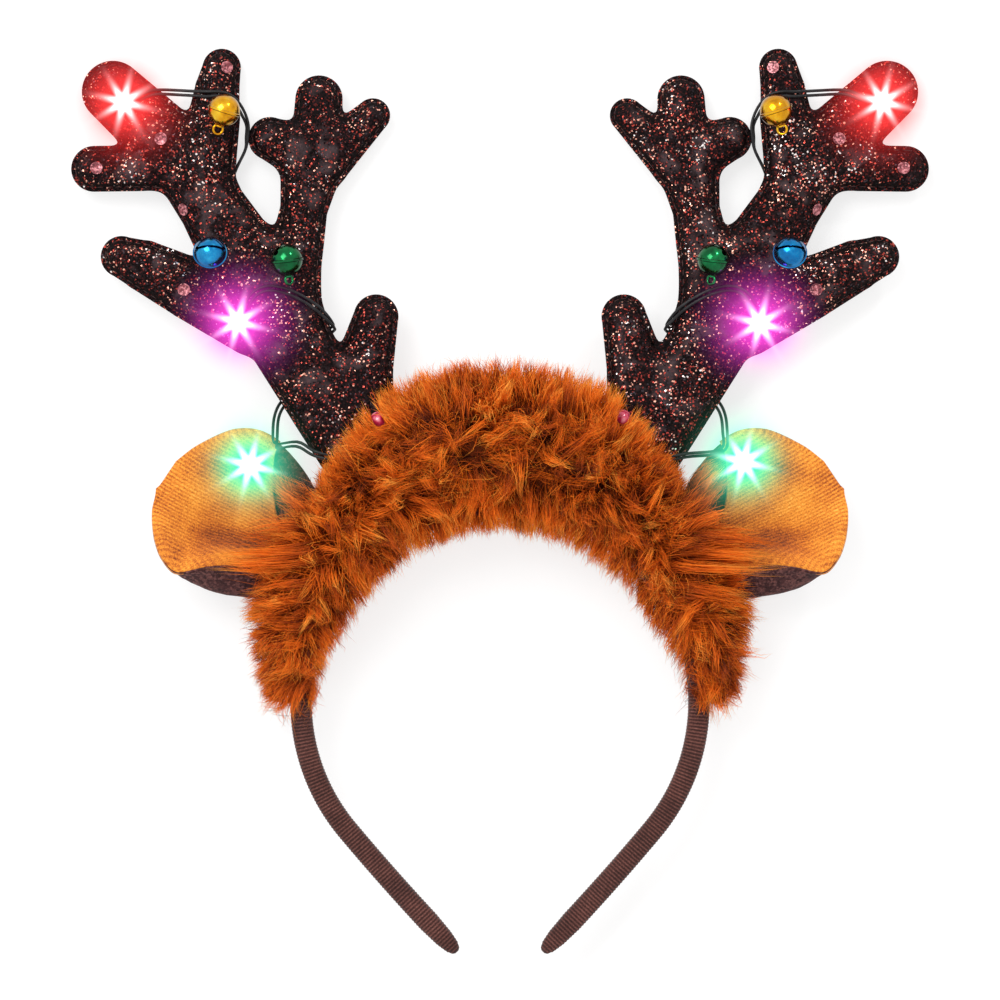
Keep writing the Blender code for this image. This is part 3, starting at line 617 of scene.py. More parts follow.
def walk_outline():
    """The closed line where the field is zero, in equal small steps."""
    here = np.array([ANTLER_START])
    for _ in range(20):
        here = here - field_slope(here) * antler_field(here[:, 0], here[:, 1])[:, None]
    walk = [here[0]]
    while len(walk) < 12 or np.linalg.norm(walk[-1] - walk[0]) > OUTLINE_STEP * 0.7:
        grow = field_slope(here)[0]
        here = here + OUTLINE_STEP * np.array([[-grow[1], grow[0]]])
        for _ in range(2):
            here = here - field_slope(here) * antler_field(here[:, 0], here[:, 1])[:, None]
        walk.append(here[0])
    return np.array(walk[:-1])


outline = walk_outline()
print("antler outline:", len(outline), "points,", round(len(outline) * OUTLINE_STEP), "mm round")

# %% [markdown]
# The cloth is a net of small triangles. Rows of points follow the outline where the seam needs them, and an
# even grid fills the middle. The front and the back are lifted off the middle plane by a cushion's profile.

# %% Antler cushion
FLANGE = 1.3
STITCH_IN = FLANGE + 0.1
EDGE_HALF = 0.45
FLANGE_HALF = 0.72
SEAM_HALF = 0.5
FULL_HALF = 4.5
SHOULDER = 7.6
SEAM_ROWS = (0.45, 0.9, 1.3, 1.75, 2.5, 3.4)
CLOTH_GRID = 1.25
PUCKER_PITCH = 5.5
PUCKER_DEPTH = 0.28
DENT_SIZE = 13.0
DENT_DEPTH = 0.55
FOLD_SIZE = 5.0
FOLD_DEPTH = 0.22
ROW_SLACK = 0.12


def cushion_half(depth):
    """Half the thickness by the distance inside the outline: a flat flange, the seam, a round shoulder."""
    halves = [EDGE_HALF, FLANGE_HALF, FLANGE_HALF, SEAM_HALF, SEAM_HALF]
    flange = np.interp(depth, [0, 0.45, 0.9, FLANGE, FLANGE + 0.2], halves)
    t = np.clip((depth - STITCH_IN) / SHOULDER, 0, 1)
    return flange + (FULL_HALF - SEAM_HALF) * np.sqrt(1 - (1 - t) ** 2)


def cloth_net():
    """Flat points and triangles of one antler cloth. The outline's points come first."""
    slope = field_slope(outline)
    rows = [outline]
    for depth in SEAM_ROWS:
        row = outline - slope * depth
        kept = np.abs(antler_field(row[:, 0], row[:, 1]) + depth) < ROW_SLACK
        rows.append(row[kept])
    low, high = outline.min(axis=0), outline.max(axis=0)
    grid = []
    for k, y in enumerate(np.arange(low[1], high[1], CLOTH_GRID * math.sqrt(0.75))):
        out = np.arange(low[0] + (k % 2) * CLOTH_GRID / 2, high[0], CLOTH_GRID)
        grid.append(np.column_stack([out, np.full(len(out), y)]))
    grid = np.concatenate(grid)
    grid = grid[antler_field(grid[:, 0], grid[:, 1]) < -SEAM_ROWS[-1] - 0.6]
    flat = np.concatenate([*rows, grid])
    count = len(outline)
    edges = [(k, (k + 1) % count) for k in range(count)]
    points, _, faces, *_ = geometry.delaunay_2d_cdt([Vector(p) for p in flat], edges, [], 1, 0.0001)
    return np.array([tuple(p) for p in points]), faces


net, net_faces = cloth_net()
net_depth = -antler_field(net[:, 0], net[:, 1])
net_depth[: len(outline)] = 0
print("antler cloth:", len(net), "points,", len(net_faces), "triangles")

# %% Puckers and dents
near_outline = KDTree(len(outline))
for k, (out, y) in enumerate(outline):
    near_outline.insert((out, y, 0), k)
near_outline.balance()
along_seam = np.array([near_outline.find((out, y, 0))[1] for out, y in net]) * OUTLINE_STEP


def cloth_relief(seed):
    """How far each point stands off the smooth cushion: puckers at the seam and soft dents further in."""
    waver = np.array([noise.noise(Vector((s / 11, seed, 0))) for s in along_seam])
    puckers = np.sin(2 * math.pi * along_seam / PUCKER_PITCH + 5 * waver) * np.clip(0.35 + waver, 0, 1)
    fade = np.clip((net_depth - FLANGE) / 0.8, 0, 1) * np.exp(-np.clip(net_depth - FLANGE, 0, None) / 3.2)
    dents = np.array([noise.noise(Vector((out / DENT_SIZE, y / DENT_SIZE, seed * 3.1))) for out, y in net])
    folds = np.array([noise.noise(Vector((out / FOLD_SIZE, y / FOLD_SIZE, 7 + seed))) for out, y in net])
    inner = np.clip((net_depth - 2) / 5, 0, 1)
    return puckers * fade * PUCKER_DEPTH + dents * inner * DENT_DEPTH - np.abs(folds) * inner * FOLD_DEPTH


def antler_middle(y):
    """Height of the antler's middle plane, which leans back so that the tips rest on the floor."""
    foot_y, foot_z = ANTLER_FOOT
    return foot_z - ANTLER_LEAN * (y - foot_y)


half = cushion_half(net_depth)
ahead = (net[:, 1] > 6) & (net_depth > 0)
ANTLER_LEAN = float(((ANTLER_FOOT[1] - half[ahead] - 0.1) / (net[ahead, 1] - ANTLER_FOOT[0])).min())
print("antlers lean back by", round(math.degrees(math.atan(ANTLER_LEAN)), 2), "degrees")


def make_antler(name, side, finish):
    """One padded antler."""
    middle = antler_middle(net[:, 1])
    front = np.column_stack([side * net[:, 0], net[:, 1], middle + half + cloth_relief(side + 2)])
    back = np.column_stack([side * net[:, 0], net[:, 1], middle - half - cloth_relief(side + 5)])
    back[:, 2] = np.maximum(back[:, 2], 0.05)
    shift = len(net)
    count = len(outline)
    sheets = list(net_faces) + [[k + shift for k in face[::-1]] for face in net_faces]
    wall = [(k, (k + 1) % count, (k + 1) % count + shift, k + shift) for k in range(count)]
    piece = mesh_piece(name, np.concatenate([front, back]), sheets + wall, finish)
    store(piece.data, "depth", np.concatenate([net_depth, net_depth]))
    return piece


# %% [markdown]
# The cloth is covered in glitter. Each flake is a cell of random colour: most are nearly black, some are
# copper or dark red, and a few are pale pink. Each flake also leans its own way, so it sparkles on its own.
# Full places get a grey sheen, a painted highlight. A dark line follows the seam, partly its own dark line and
# partly painted shade in its groove. Round the lit lamps a painted glow in the lamp's colour stands for the
# lamp's light on the cloth.

# %% Glitter finish
LAMPS = {  # name: (out, y) on the left, (out, y) on the right
    "lamp_red": ((117.4, 124.046), (119.3, 124.146)),
    "lamp_magenta": ((81.5, 55.346), (80.8, 54.846)),
    "lamp_green": ((77.6, 10.746), (75.6, 11.846)),
    "lamp_pink": ((37.7, 24.646), (38.0, 25.246)),
}
# Painted glow: each lamp's light on the cloth, given as emitted colour.
PAINTED_LAMP_GLOWS = {  # colour and reach of a lamp's light in the cloth
    "lamp_red": ((0.80, 0.0, 0.003), 24.0),
    "lamp_magenta": ((0.28, 0.0, 0.26), 24.0),
    "lamp_green": ((0.03, 0.55, 0.25), 15.0),
}
FLAKE_SIZE = 0.46
FLAKE_LEAN = 0.75
SHEEN_TONE = (0.078, 0.052, 0.056)
SEAM_TONE = (0.002, 0.001, 0.001)
SEAM_AT = 1.9


def lamp_middle(name, side_name):
    """The middle of a lamp in metres."""
    low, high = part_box(f"{name}_{side_name}")
    return (Vector(low) + Vector(high)) / 2


def painted_lamp_glow(finish, name, side_name, grain):
    """Painted light from a lamp on the cloth: an emitted colour that fades with the distance."""
    colour, reach = PAINTED_LAMP_GLOWS[name]
    away = finish.distance(lamp_middle(name, side_name)) / (reach * MM)
    strength = ((1 - away).kept() ** 1.5) * grain
    return finish.blend(strength, (0, 0, 0), colour)


def glitter_cloth(side_name):
    """Glitter cloth for one antler."""
    cloth = Finish(f"glitter_cloth_{side_name}", Emission_Strength=1.0, Specular_IOR_Level=0.06)
    flakes = cloth.cells(FLAKE_SIZE)
    pick = cloth.part(flakes, "Red")
    patch = cloth.noise(16.0)
    chosen = (pick * 0.88 + patch * 0.24 - 0.06).kept()
    colour = cloth.ramp(chosen, [
        (0.0, (0.003, 0.0012, 0.0015)), (0.26, (0.013, 0.0045, 0.005)), (0.48, (0.002, 0.001, 0.001)),
        (0.64, (0.07, 0.010, 0.009)), (0.71, (0.006, 0.003, 0.004)), (0.81, (0.42, 0.06, 0.045)),
        (0.86, (0.05, 0.038, 0.045)), (0.91, (0.95, 0.46, 0.34)), (0.945, (1.0, 0.90, 0.88))], "CONSTANT")
    shine = chosen.above(0.78)
    depth = cloth.attribute("depth")
    # Painted sheen: a grey highlight in soft patches over the full middle of the cushion.
    painted_sheen = ((cloth.noise(8.0, 3.0) - 0.50) * 5.5).kept() * ((depth - 2.2) * 0.28).kept()
    colour = cloth.blend(painted_sheen * 0.75 * (1 - shine), colour, SHEEN_TONE)
    # The dark seam line is partly the seam's own dark line and partly painted shade in its groove.
    seam = (1 - ((depth - SEAM_AT) * 1.25) ** 2).kept()
    colour = cloth.blend(seam * 0.85, colour, SEAM_TONE)
    lean = cloth.arrow("SCALE", cloth.arrow("SUBTRACT", flakes, (0.5, 0.5, 0.5)), FLAKE_LEAN)
    normal = cloth.add("ShaderNodeNewGeometry", take="Normal")
    normal = cloth.arrow("NORMALIZE", cloth.arrow("ADD", normal, lean))
    bright = cloth.part(flakes, "Green")
    grain = (bright * 0.5 + shine * 0.35 + 0.35).kept()
    # Painted glow: the red and magenta lamps' light on the antler cloth, as emitted colour.
    red = painted_lamp_glow(cloth, "lamp_red", side_name, grain)
    magenta = painted_lamp_glow(cloth, "lamp_magenta", side_name, grain)
    return cloth.feed(Base_Color=colour, Roughness=0.55 - shine * 0.2, Metallic=shine, Normal=normal,
                      Emission_Color=cloth.arrow("ADD", red, magenta))


glitter = {name: glitter_cloth(name) for name in SIDES}
print("glitter finishes:", len(glitter))

# %% Make the antlers
antlers = {}
for name, side in SIDES.items():
    antlers[name] = make_antler(f"antler_cushion_{name}", side, glitter[name])
    settle(antlers[name], "antler_cloth", f"antler_{name}")
print("antler cushion:", len(antlers["L"].data.polygons), "faces each")

# %% [markdown]
# A dark thread sews the two cloths together a little inside the edge. Each stitch is a tiny bowed rod, sunk
# at both ends, on the front and on the back.

# %% Stitches
STITCH_PITCH = 2.9
STITCH_LENGTH = 2.0
STITCH_RADIUS = 0.16
STITCH_BOW = 0.16
STITCH_LIFT = 0.12
STITCH_LOWEST = 0.2


def rod(ends, radius, bow, sides=5, rings=4):
    """Points and faces of a small bowed rod between two places, bowed along a direction."""
    first, last = (np.array(end, float) for end in ends)
    way = (last - first) / np.linalg.norm(last - first)
    up = bow / np.linalg.norm(bow)
    across = np.cross(way, up)
    points = []
    for t in np.linspace(0, 1, rings):
        middle = first + (last - first) * t + bow * (1 - (2 * t - 1) ** 2)
        for k in range(sides):
            angle = 2 * math.pi * k / sides
            points.append(middle + radius * (math.cos(angle) * across + math.sin(angle) * up))
    return points, join_rings(sides, rings)


def make_stitches(name, side, finish):
    """The row of stitches round one antler, on both cloths."""
    every = STITCH_PITCH / OUTLINE_STEP
    slope = field_slope(outline)
    line = outline - slope * STITCH_IN
    good = np.abs(antler_field(line[:, 0], line[:, 1]) + STITCH_IN) < 0.15
    points, faces = [], []
    for at in np.arange(0, len(outline) - 1, every):
        ends = []
        for shift in (-0.5, 0.5):
            spot = (at + shift * STITCH_LENGTH / OUTLINE_STEP) % len(outline)
            k = int(spot)
            ends.append(line[k] + (line[(k + 1) % len(line)] - line[k]) * (spot - k))
        if not good[int(at)] or np.linalg.norm(ends[0] - ends[1]) > STITCH_LENGTH * 1.4:
            continue
        for face in (1, -1):
            height = face * (SEAM_HALF + STITCH_LIFT)
            lifted = [(side * out, y, max(antler_middle(y) + height, STITCH_LOWEST)) for out, y in ends]
            rod_points, rod_faces = rod(lifted, STITCH_RADIUS, np.array([0, 0, face * STITCH_BOW]))
            faces += [tuple(k + len(points) for k in each) for each in rod_faces]
            points += rod_points
    return mesh_piece(name, points, faces, finish)


thread = Finish("dark_thread", Roughness=0.6)
thread.feed(Base_Color=thread.blend(thread.noise(1.5), (0.012, 0.006, 0.006), (0.09, 0.03, 0.028)))
for name, side in SIDES.items():
    stitches = settle(make_stitches(f"antler_stitches_{name}", side, thread), "antler_cloth")
print("stitches:", len(stitches.data.polygons), "faces a side")

# %% [markdown]
# A few dusky pink sequins are scattered over each antler. A sequin is a thin disc, slightly cupped, with a
# flat rim. It is modelled once, and each copy is laid on the cloth with the cloth's own tilt.

# %% Sequins
ABOVE_ALL = 100.0
SEQUIN_RADIUS = 1.95
SEQUIN_THICK = 0.22
SEQUIN_RIM = 0.35
SEQUIN_SLOPE = 0.55
SEQUIN_CUP = 0.12
SEQUIN_LIFT = 0.12
SEQUINS = [(85.5, 135.4), (106.0, 112.9), (126.1, 103.7), (99.0, 90.8), (98.6, 65.6)]


def sequin_shape():
    """One cupped disc about the origin."""
    deselect()
    bpy.ops.mesh.primitive_cylinder_add(vertices=24, radius=SEQUIN_RADIUS * MM, depth=SEQUIN_THICK * MM)
    disc = bpy.context.object
    bpy.ops.object.mode_set(mode="EDIT")
    select_where(disc, faces=lambda f: abs(f.normal.z) > 0.9)
    bpy.ops.mesh.inset(thickness=SEQUIN_RIM * MM)
    bpy.ops.mesh.inset(thickness=SEQUIN_SLOPE * MM)
    bpy.ops.transform.translate(value=(0, 0, -SEQUIN_CUP * MM))
    bpy.ops.object.mode_set(mode="OBJECT")
    bpy.ops.object.shade_smooth_by_angle(angle=math.radians(50))
    return disc


def surface_tree(*pieces):
    """A search tree over the pieces' faces, in metres."""
    graph = bpy.context.evaluated_depsgraph_get()
    points, faces = [], []
    for piece in pieces:
        shape = piece.evaluated_get(graph).to_mesh()
        start = len(points)
        points += [vertex.co.copy() for vertex in shape.vertices]
        faces += [tuple(start + k for k in face.vertices) for face in shape.polygons]
    return BVHTree.FromPolygons(points, faces)


def drop_on(surface, x, y):
    """The point and normal of a surface straight under a place given in millimetres."""
    place, normal, *_ = surface.ray_cast(Vector((x, y, ABOVE_ALL)) * MM, Vector((0, 0, -1)))
    return place, normal


def dressed(piece, finish):
    """The piece with one finish and no other."""
    piece.data.materials.clear()
    piece.data.materials.append(finish.material)
    return piece


def joined(pieces, name, finish):
    """Several objects made one, with one finish."""
    select_only(*pieces)
    bpy.ops.object.join()
    bpy.context.object.name = name
    return dressed(bpy.context.object, finish)


sequin_film = Finish("pink_sequin", Roughness=0.3, Metallic=0.35)
film_grain = sequin_film.part(sequin_film.cells(0.5), "Red")
sequin_film.feed(Base_Color=sequin_film.ramp(film_grain, [
    (0.0, (0.07, 0.014, 0.018)), (0.5, (0.22, 0.04, 0.052)), (0.85, (0.60, 0.22, 0.24))]))
sequin = sequin_shape()
for name, side in SIDES.items():
    cloth_tree = surface_tree(antlers[name])
    laid = []
    for k, (out, y) in enumerate(SEQUINS):
        spot, normal = drop_on(cloth_tree, side * out, y)
        turn = normal.to_track_quat("Z", "Y").to_matrix()
        laid.append(copied(sequin, f"sequin_{k}", turn, spot / MM + normal * SEQUIN_LIFT))
    settle(joined(laid, f"antler_sequins_{name}", sequin_film), "antler_cloth")
bpy.data.objects.remove(sequin, do_unlink=True)
print("sequins:", len(SEQUINS), "a side")

# %% [markdown]
# ## The ears
# Each ear is a stuffed dark brown pad with a golden ribbed cloth sewn on its front. The cloth dips into a
# fold towards the lower lip. Both follow the same rows, read round the centre of the band's crown.

# %% Ear shape
EAR_ROWS = [  # radius, top deg, top z, face z, crease z, lip deg, lip z, belly deg, belly z, back z
    (66.2, 47.0, 17.5, 16.5, 16.0, 58.0, 18.0, 60.5, 15.0, 11.5),
    (78.0, 43.0, 18.0, 15.0, 13.0, 59.5, 21.0, 66.0, 14.0, 8.0),
    (90.0, 40.5, 18.5, 14.0, 11.5, 62.0, 25.0, 68.4, 15.0, 5.0),
    (100.0, 40.0, 19.0, 14.0, 12.0, 65.4, 26.0, 69.0, 16.0, 4.0),
    (108.0, 40.6, 19.5, 15.5, 15.0, 68.2, 25.0, 67.8, 17.0, 5.0),
    (114.5, 42.2, 20.0, 17.5, 18.0, 66.8, 24.0, 65.9, 18.0, 8.0),
    (119.5, 45.2, 20.5, 19.5, 19.8, 64.0, 22.5, 62.8, 19.0, 12.5),
    (122.6, 49.6, 21.0, 20.8, 20.8, 61.0, 21.4, 60.2, 20.0, 16.5),
    (124.0, 53.5, 21.0, 21.0, 21.0, 58.0, 21.0, 58.1, 20.4, 19.0),
]
EAR_CREASE_AT = 0.74
EAR_FACE_AT = 0.38
EAR_LIFT = 0.75
EAR_CLOTH = 1.1
EAR_FACE_STARTS = [(0.0, 107.0), (0.3, 96.0), (0.55, 86.0), (1.0, 80.0)]  # across the ear, first radius
EAR_END = 123.9
EAR_RIM = 0.07  # the part of the ear's width in which the cloth turns over the pad's edge


def smooth_rows(rows, at):
    """A table read between its rows by a smooth curve: the first column is where it is read."""
    table = np.array(rows, float)
    where = np.clip(at, table[0, 0], table[-1, 0])
    k = int(np.clip(np.searchsorted(table[:, 0], where) - 1, 0, len(table) - 2))
    width = table[k + 1, 0] - table[k, 0]
    t = (where - table[k, 0]) / width

    def slope(n):
        low, high = max(n - 1, 0), min(n + 1, len(table) - 1)
        return (table[high] - table[low]) / (table[high, 0] - table[low, 0])

    value = (2 * t**3 - 3 * t**2 + 1) * table[k] + (t**3 - 2 * t**2 + t) * width * slope(k)
    value += (3 * t**2 - 2 * t**3) * table[k + 1] + (t**3 - t**2) * width * slope(k + 1)
    return value[1:]


def ear_face(radius, across):
    """A point of the golden face: across runs from the top edge, 0, over the fold to the lip, 1."""
    top_deg, top_z, face_z, crease_z, lip_deg, lip_z, *_ = smooth_rows(EAR_ROWS, radius)
    line = [(0.0, top_z), (EAR_FACE_AT, face_z), (EAR_CREASE_AT, crease_z), (1.0, lip_z)]
    z = smooth_rows(line, across)[0]
    return np.array([*polar(radius, top_deg + (lip_deg - top_deg) * across), z])


def ear_back(radius, across):
    """A point of the brown back: across runs from the lip, 0, under the belly to the top edge, 1."""
    top_deg, top_z, _, _, lip_deg, lip_z, belly_deg, belly_z, back_z = smooth_rows(EAR_ROWS, radius)
    line = [
        (0.0, lip_deg, lip_z),
        (0.2, belly_deg, belly_z),
        (0.45, belly_deg * 0.7 + top_deg * 0.3, back_z),
        (0.8, belly_deg * 0.15 + top_deg * 0.85, back_z * 0.8 + top_z * 0.2),
        (1.0, top_deg, top_z),
    ]
    degrees, z = smooth_rows(line, across)
    return np.array([*polar(radius, degrees), z])


def grid_normals(grid):
    """Normals of a grid of points, from its two directions."""
    normal = np.cross(np.gradient(grid, axis=0), np.gradient(grid, axis=1))
    return normal / np.maximum(np.linalg.norm(normal, axis=2, keepdims=True), 1e-9)


# %% Golden ear cloth
RIB_SIZE = 1.15
RIB_HEIGHT = 0.17
RIB_TURN_DEG = -28.0
EAR_WRAP = 1.8
EAR_SINK = 0.7
# Middle (out, y) of the painted shadow of the green lamp on the ear cloth.
LAMP_SHADOW = (86.5, 10.5)


def golden_grid(columns=118, rows=104):
    """Outer and inner points of the ear's cloth, with its ribs raised, and each point's rib and painted shade.
    """
    spread = np.sin(np.linspace(0, math.pi / 2, columns))
    starts, acrosses = zip(*[(radius, across) for across, radius in EAR_FACE_STARTS])
    base = np.empty((rows, columns, 3))
    for row, v in enumerate(np.linspace(0.02, 0.98, rows)):
        first = np.interp(v, acrosses, starts)
        for column, radius in enumerate(first + (EAR_END - first) * spread):
            base[row, column] = ear_face(radius, v)
    normal = grid_normals(base)
    normal *= np.sign(normal[:, :, 2:3])
    turn = math.radians(RIB_TURN_DEG)
    across_ribs = base[:, :, 0] * math.sin(turn) + base[:, :, 1] * math.cos(turn)
    waver = 0.5 * np.sin(base[:, :, 0] / 7.0) + 0.35 * np.sin(base[:, :, 1] / 5.0 + 1.0)
    phase = (across_ribs + waver) / RIB_SIZE
    rib = 0.5 + 0.5 * np.cos(2 * math.pi * phase)
    height = EAR_LIFT + EAR_CLOTH + RIB_HEIGHT * rib
    across = np.linspace(0, 1, rows)[:, None]
    radius = np.hypot(base[:, :, 0], base[:, :, 1] - CROWN_Y)
    away = np.stack([base[:, :, 0], base[:, :, 1] - CROWN_Y], axis=-1) / radius[:, :, None]
    down = np.stack([away[:, :, 1], -away[:, :, 0]], axis=-1)
    tip = np.clip((radius - 117) / 6.9, 0, 1) ** 2
    lower, upper = ((EAR_RIM - room) / EAR_RIM for room in (1 - across, across))
    side = (np.clip(lower, 0, 1) ** 2 - np.clip(upper, 0, 1) ** 2) * np.clip((EAR_END - radius) / 5, 0, 1)
    wrap = np.zeros_like(base)
    outwards = away * tip[:, :, None] + down * side[:, :, None]
    wrap[:, :, :2] = EAR_WRAP * outwards / np.maximum(np.linalg.norm(outwards, axis=2, keepdims=True), 1)
    wrap[:, :, 2] = -EAR_WRAP * EAR_SINK * np.maximum(tip, np.abs(side))
    # Painted shade: darker in the crease and in the pocket under the lip, and a painted shadow of the green
    # lamp; the cloth is also darker towards the inner end.
    fold = np.exp(-(((across - EAR_CREASE_AT) / 0.075) ** 2)) * np.clip((114 - radius) / 8, 0, 1)
    under = np.clip((across - EAR_CREASE_AT) / 0.1, 0, 1) * np.clip((0.95 - across) / 0.08, 0, 1) * 0.36
    under = under * np.clip((112 - radius) / 10, 0, 1)
    cast_out, cast_y = LAMP_SHADOW
    cast = np.exp(-(((base[:, :, 0] - cast_out) / 5.5) ** 2) - ((base[:, :, 1] - cast_y) / 4.0) ** 2)
    inner = np.clip((96 - radius) / 14, 0, 1) * 0.5
    shade = np.clip(fold * 0.42 + under + cast * 0.34 + inner, 0, 1)
    return base + normal * height[:, :, None] + wrap, base + normal * EAR_LIFT + wrap, rib, shade


def make_golden_cloth(name, side, finish):
    """The golden cloth of one ear: an outer and an inner face joined round the edge."""
    outer, inner, rib, shade = golden_grid()
    rows, columns, _ = outer.shape
    points = np.concatenate([outer.reshape(-1, 3), inner.reshape(-1, 3)])
    points[:, 0] *= side
    shift = rows * columns
    faces = []
    for row in range(rows - 1):
        for column in range(columns - 1):
            a = row * columns + column
            quad = (a, a + 1, a + columns + 1, a + columns)
            faces += [quad, tuple(k + shift for k in quad[::-1])]
    rim = [*range(columns), *range(2 * columns - 1, shift, columns),
           *range(shift - 2, shift - columns - 1, -1), *range(shift - 2 * columns, 0, -columns)]
    faces += [(a, b, b + shift, a + shift) for a, b in zip(rim, rim[1:] + rim[:1])]
    piece = mesh_piece(name, points, faces, finish)
    store(piece.data, "rib", np.tile(rib.ravel(), 2))
    store(piece.data, "shade", np.tile(shade.ravel(), 2))
    return piece


def golden_cloth(side_name):
    """Golden ribbed cloth: painted lighter on the ribs and darker between them, painted shade in the fold, and
    short fuzz.
    """
    cloth = Finish(f"golden_cloth_{side_name}", Roughness=0.85, Sheen_Weight=0.15, Sheen_Roughness=0.4,
                   Emission_Strength=1.0)
    grain = cloth.noise(0.5, detail=3.0, roughness=0.75)
    patch = cloth.noise(11.0, detail=3.0)
    # The rib term is a painted highlight on the ribs and painted shade between them; the shade term is painted
    # shade.
    tone = cloth.attribute("rib") * 0.30 + grain * 1.35 + patch * 0.8 - cloth.attribute("shade") * 0.75
    tone = (tone - 0.72).kept()
    colour = cloth.ramp(tone, [
        (0.0, (0.10, 0.018, 0.002)), (0.25, (0.40, 0.085, 0.005)), (0.5, (0.70, 0.21, 0.014)),
        (0.75, (0.92, 0.36, 0.035)), (1.0, (1.0, 0.60, 0.12))])
    # Painted glow: the green lamp's light on the ear cloth, as emitted colour.
    glow = painted_lamp_glow(cloth, "lamp_green", side_name, (grain * 0.7 + 0.3).kept())
    return cloth.feed(Base_Color=colour, Normal=cloth.bump(grain, 0.2), Emission_Color=glow)


# %% Brown ear pad
PAD_INSET = 0.2


def make_ear_pad(name, side, finish, rings_count=46, over=46, under=30):
    """The stuffed brown back of one ear, closed at its base and at its tip."""
    first, last = EAR_ROWS[0][0], EAR_END + 0.1
    points = []
    for radius in first + (last - first) * np.sin(np.linspace(0, math.pi / 2, rings_count)):
        points += [ear_face(radius, v) for v in np.linspace(0, 1, over)]
        points += [ear_back(radius, v) for v in np.linspace(0, 1, under + 2)[1:-1]]
    points = np.array(points)
    points[:, 0] *= side
    piece = mesh_piece(name, points, join_rings(over + under, rings_count), finish)
    for vertex in piece.data.vertices:
        place = vertex.co / MM
        lump = noise.noise(place / 9.0) * 0.5 + noise.noise(place / 3.0) * 0.15
        below = 1.0 if vertex.normal.z < 0.3 else 0.0
        vertex.co += vertex.normal * (lump * below - PAD_INSET) * MM
    return piece


knit = Finish("brown_knit", Roughness=0.9, Sheen_Weight=0.06, Specular_IOR_Level=0.15)
knit_rows = knit.part(knit.cells(0.9), "Red") * 0.5 + knit.noise(0.6, 3.0) * 0.7
knit_colour = knit.ramp(knit_rows.kept(), [(0.2, (0.016, 0.005, 0.006)), (0.6, (0.062, 0.022, 0.023)),
                                           (0.95, (0.19, 0.075, 0.066))])
knit.feed(Base_Color=knit_colour, Normal=knit.bump(knit_rows, 0.35))

# %% Make the ears
for name, side in SIDES.items():
    pad = make_ear_pad(f"ear_pad_{name}", side, knit)
    settle(pad, "ear_back_cloth", f"ear_back_{name}")
    golden = make_golden_cloth(f"ear_cloth_{name}", side, golden_cloth(name))
    settle(golden, "ear_face_cloth", f"ear_front_{name}")
print("ear cloth:", len(golden.data.polygons), "faces each")

# %% [markdown]
# ## The lamps
# Each lamp is a round-headed 5 mm diode: a flange, a short straight side and a dome. A cylinder's top face is
# inset and extruded upwards in steps that follow a quarter of an ellipse. The three lit ones shine far above
# white.

# %% Lamp shape
FLANGE_RADIUS = 2.9
LENS_RADIUS = 2.5
FLANGE_TALL = 0.8
DOME_STARTS = 3.2
LAMP_TALL = 5.5
DOME_STEPS = 8
DOME_END_DEG = 88


def raise_face(height):
    """Extrude the selected face upwards, in millimetres."""
    bpy.ops.mesh.extrude_region_move(TRANSFORM_OT_translate={"value": (0, 0, height * MM)})


def lamp_shape():
    """One diode standing on the origin."""
    deselect()
    bpy.ops.mesh.primitive_cylinder_add(vertices=36, radius=FLANGE_RADIUS * MM, depth=FLANGE_TALL * MM,
                                        location=(0, 0, FLANGE_TALL / 2 * MM))
    lamp = bpy.context.object
    bpy.ops.object.transform_apply(location=True, rotation=True, scale=True)
    bpy.ops.object.mode_set(mode="EDIT")
    select_where(lamp, faces=lambda f: f.normal.z > 0.9)
    bpy.ops.mesh.inset(thickness=(FLANGE_RADIUS - LENS_RADIUS) * MM)
    raise_face(DOME_STARTS - FLANGE_TALL)
    radius, height = LENS_RADIUS, DOME_STARTS
    for k in range(1, DOME_STEPS + 1):
        angle = math.radians(DOME_END_DEG) * k / DOME_STEPS
        new_radius = LENS_RADIUS * math.cos(angle)
        new_height = DOME_STARTS + (LAMP_TALL - DOME_STARTS) * math.sin(angle)
        raise_face(new_height - height)
        size = new_radius / radius
        bpy.ops.transform.resize(value=(size, size, 1.0), center_override=(0, 0, 0))
        radius, height = new_radius, new_height
    bpy.ops.object.mode_set(mode="OBJECT")
    bpy.ops.object.shade_smooth_by_angle(angle=math.radians(35))
    return lamp


# %% Lenses
LENS_POWER = 90.0
LIT = {"lamp_red": (1.0, 0.045, 0.045), "lamp_magenta": (1.0, 0.06, 0.72), "lamp_green": (0.06, 1.0, 0.55)}
RIM_LIGHT = 0.022


def lit_lens(name, side_name):
    """A shining lens: its light is far the strongest at the top of the dome, over the bright grain inside."""
    colour = LIT[name]
    lens = Finish(f"{name}_lens_{side_name}", Roughness=0.15, Emission_Strength=LENS_POWER)
    top = lamp_middle(name, side_name)
    top.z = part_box(f"{name}_{side_name}")[1][2]
    near = (1 - lens.distance(top) / (LENS_RADIUS * MM)).kept() ** 3.0
    dim = tuple(RIM_LIGHT * c for c in colour)
    lens.feed(Base_Color=lens.blend(near, tuple(0.2 + 0.5 * c for c in colour), WHITE),
              Emission_Color=lens.blend(near, dim, colour))
    return lens


dark_lens = Finish("lamp_pink_lens", Roughness=0.12, Coat_Weight=1.0)
dark_lens.feed(Base_Color=dark_lens.ramp(dark_lens.noise(2.4, 1.0), [
    (0.3, (0.33, 0.008, 0.03)), (0.55, (0.62, 0.03, 0.10)), (0.75, (0.9, 0.28, 0.36))]))
lenses = {(name, side): lit_lens(name, side) for name in LIT for side in SIDES}

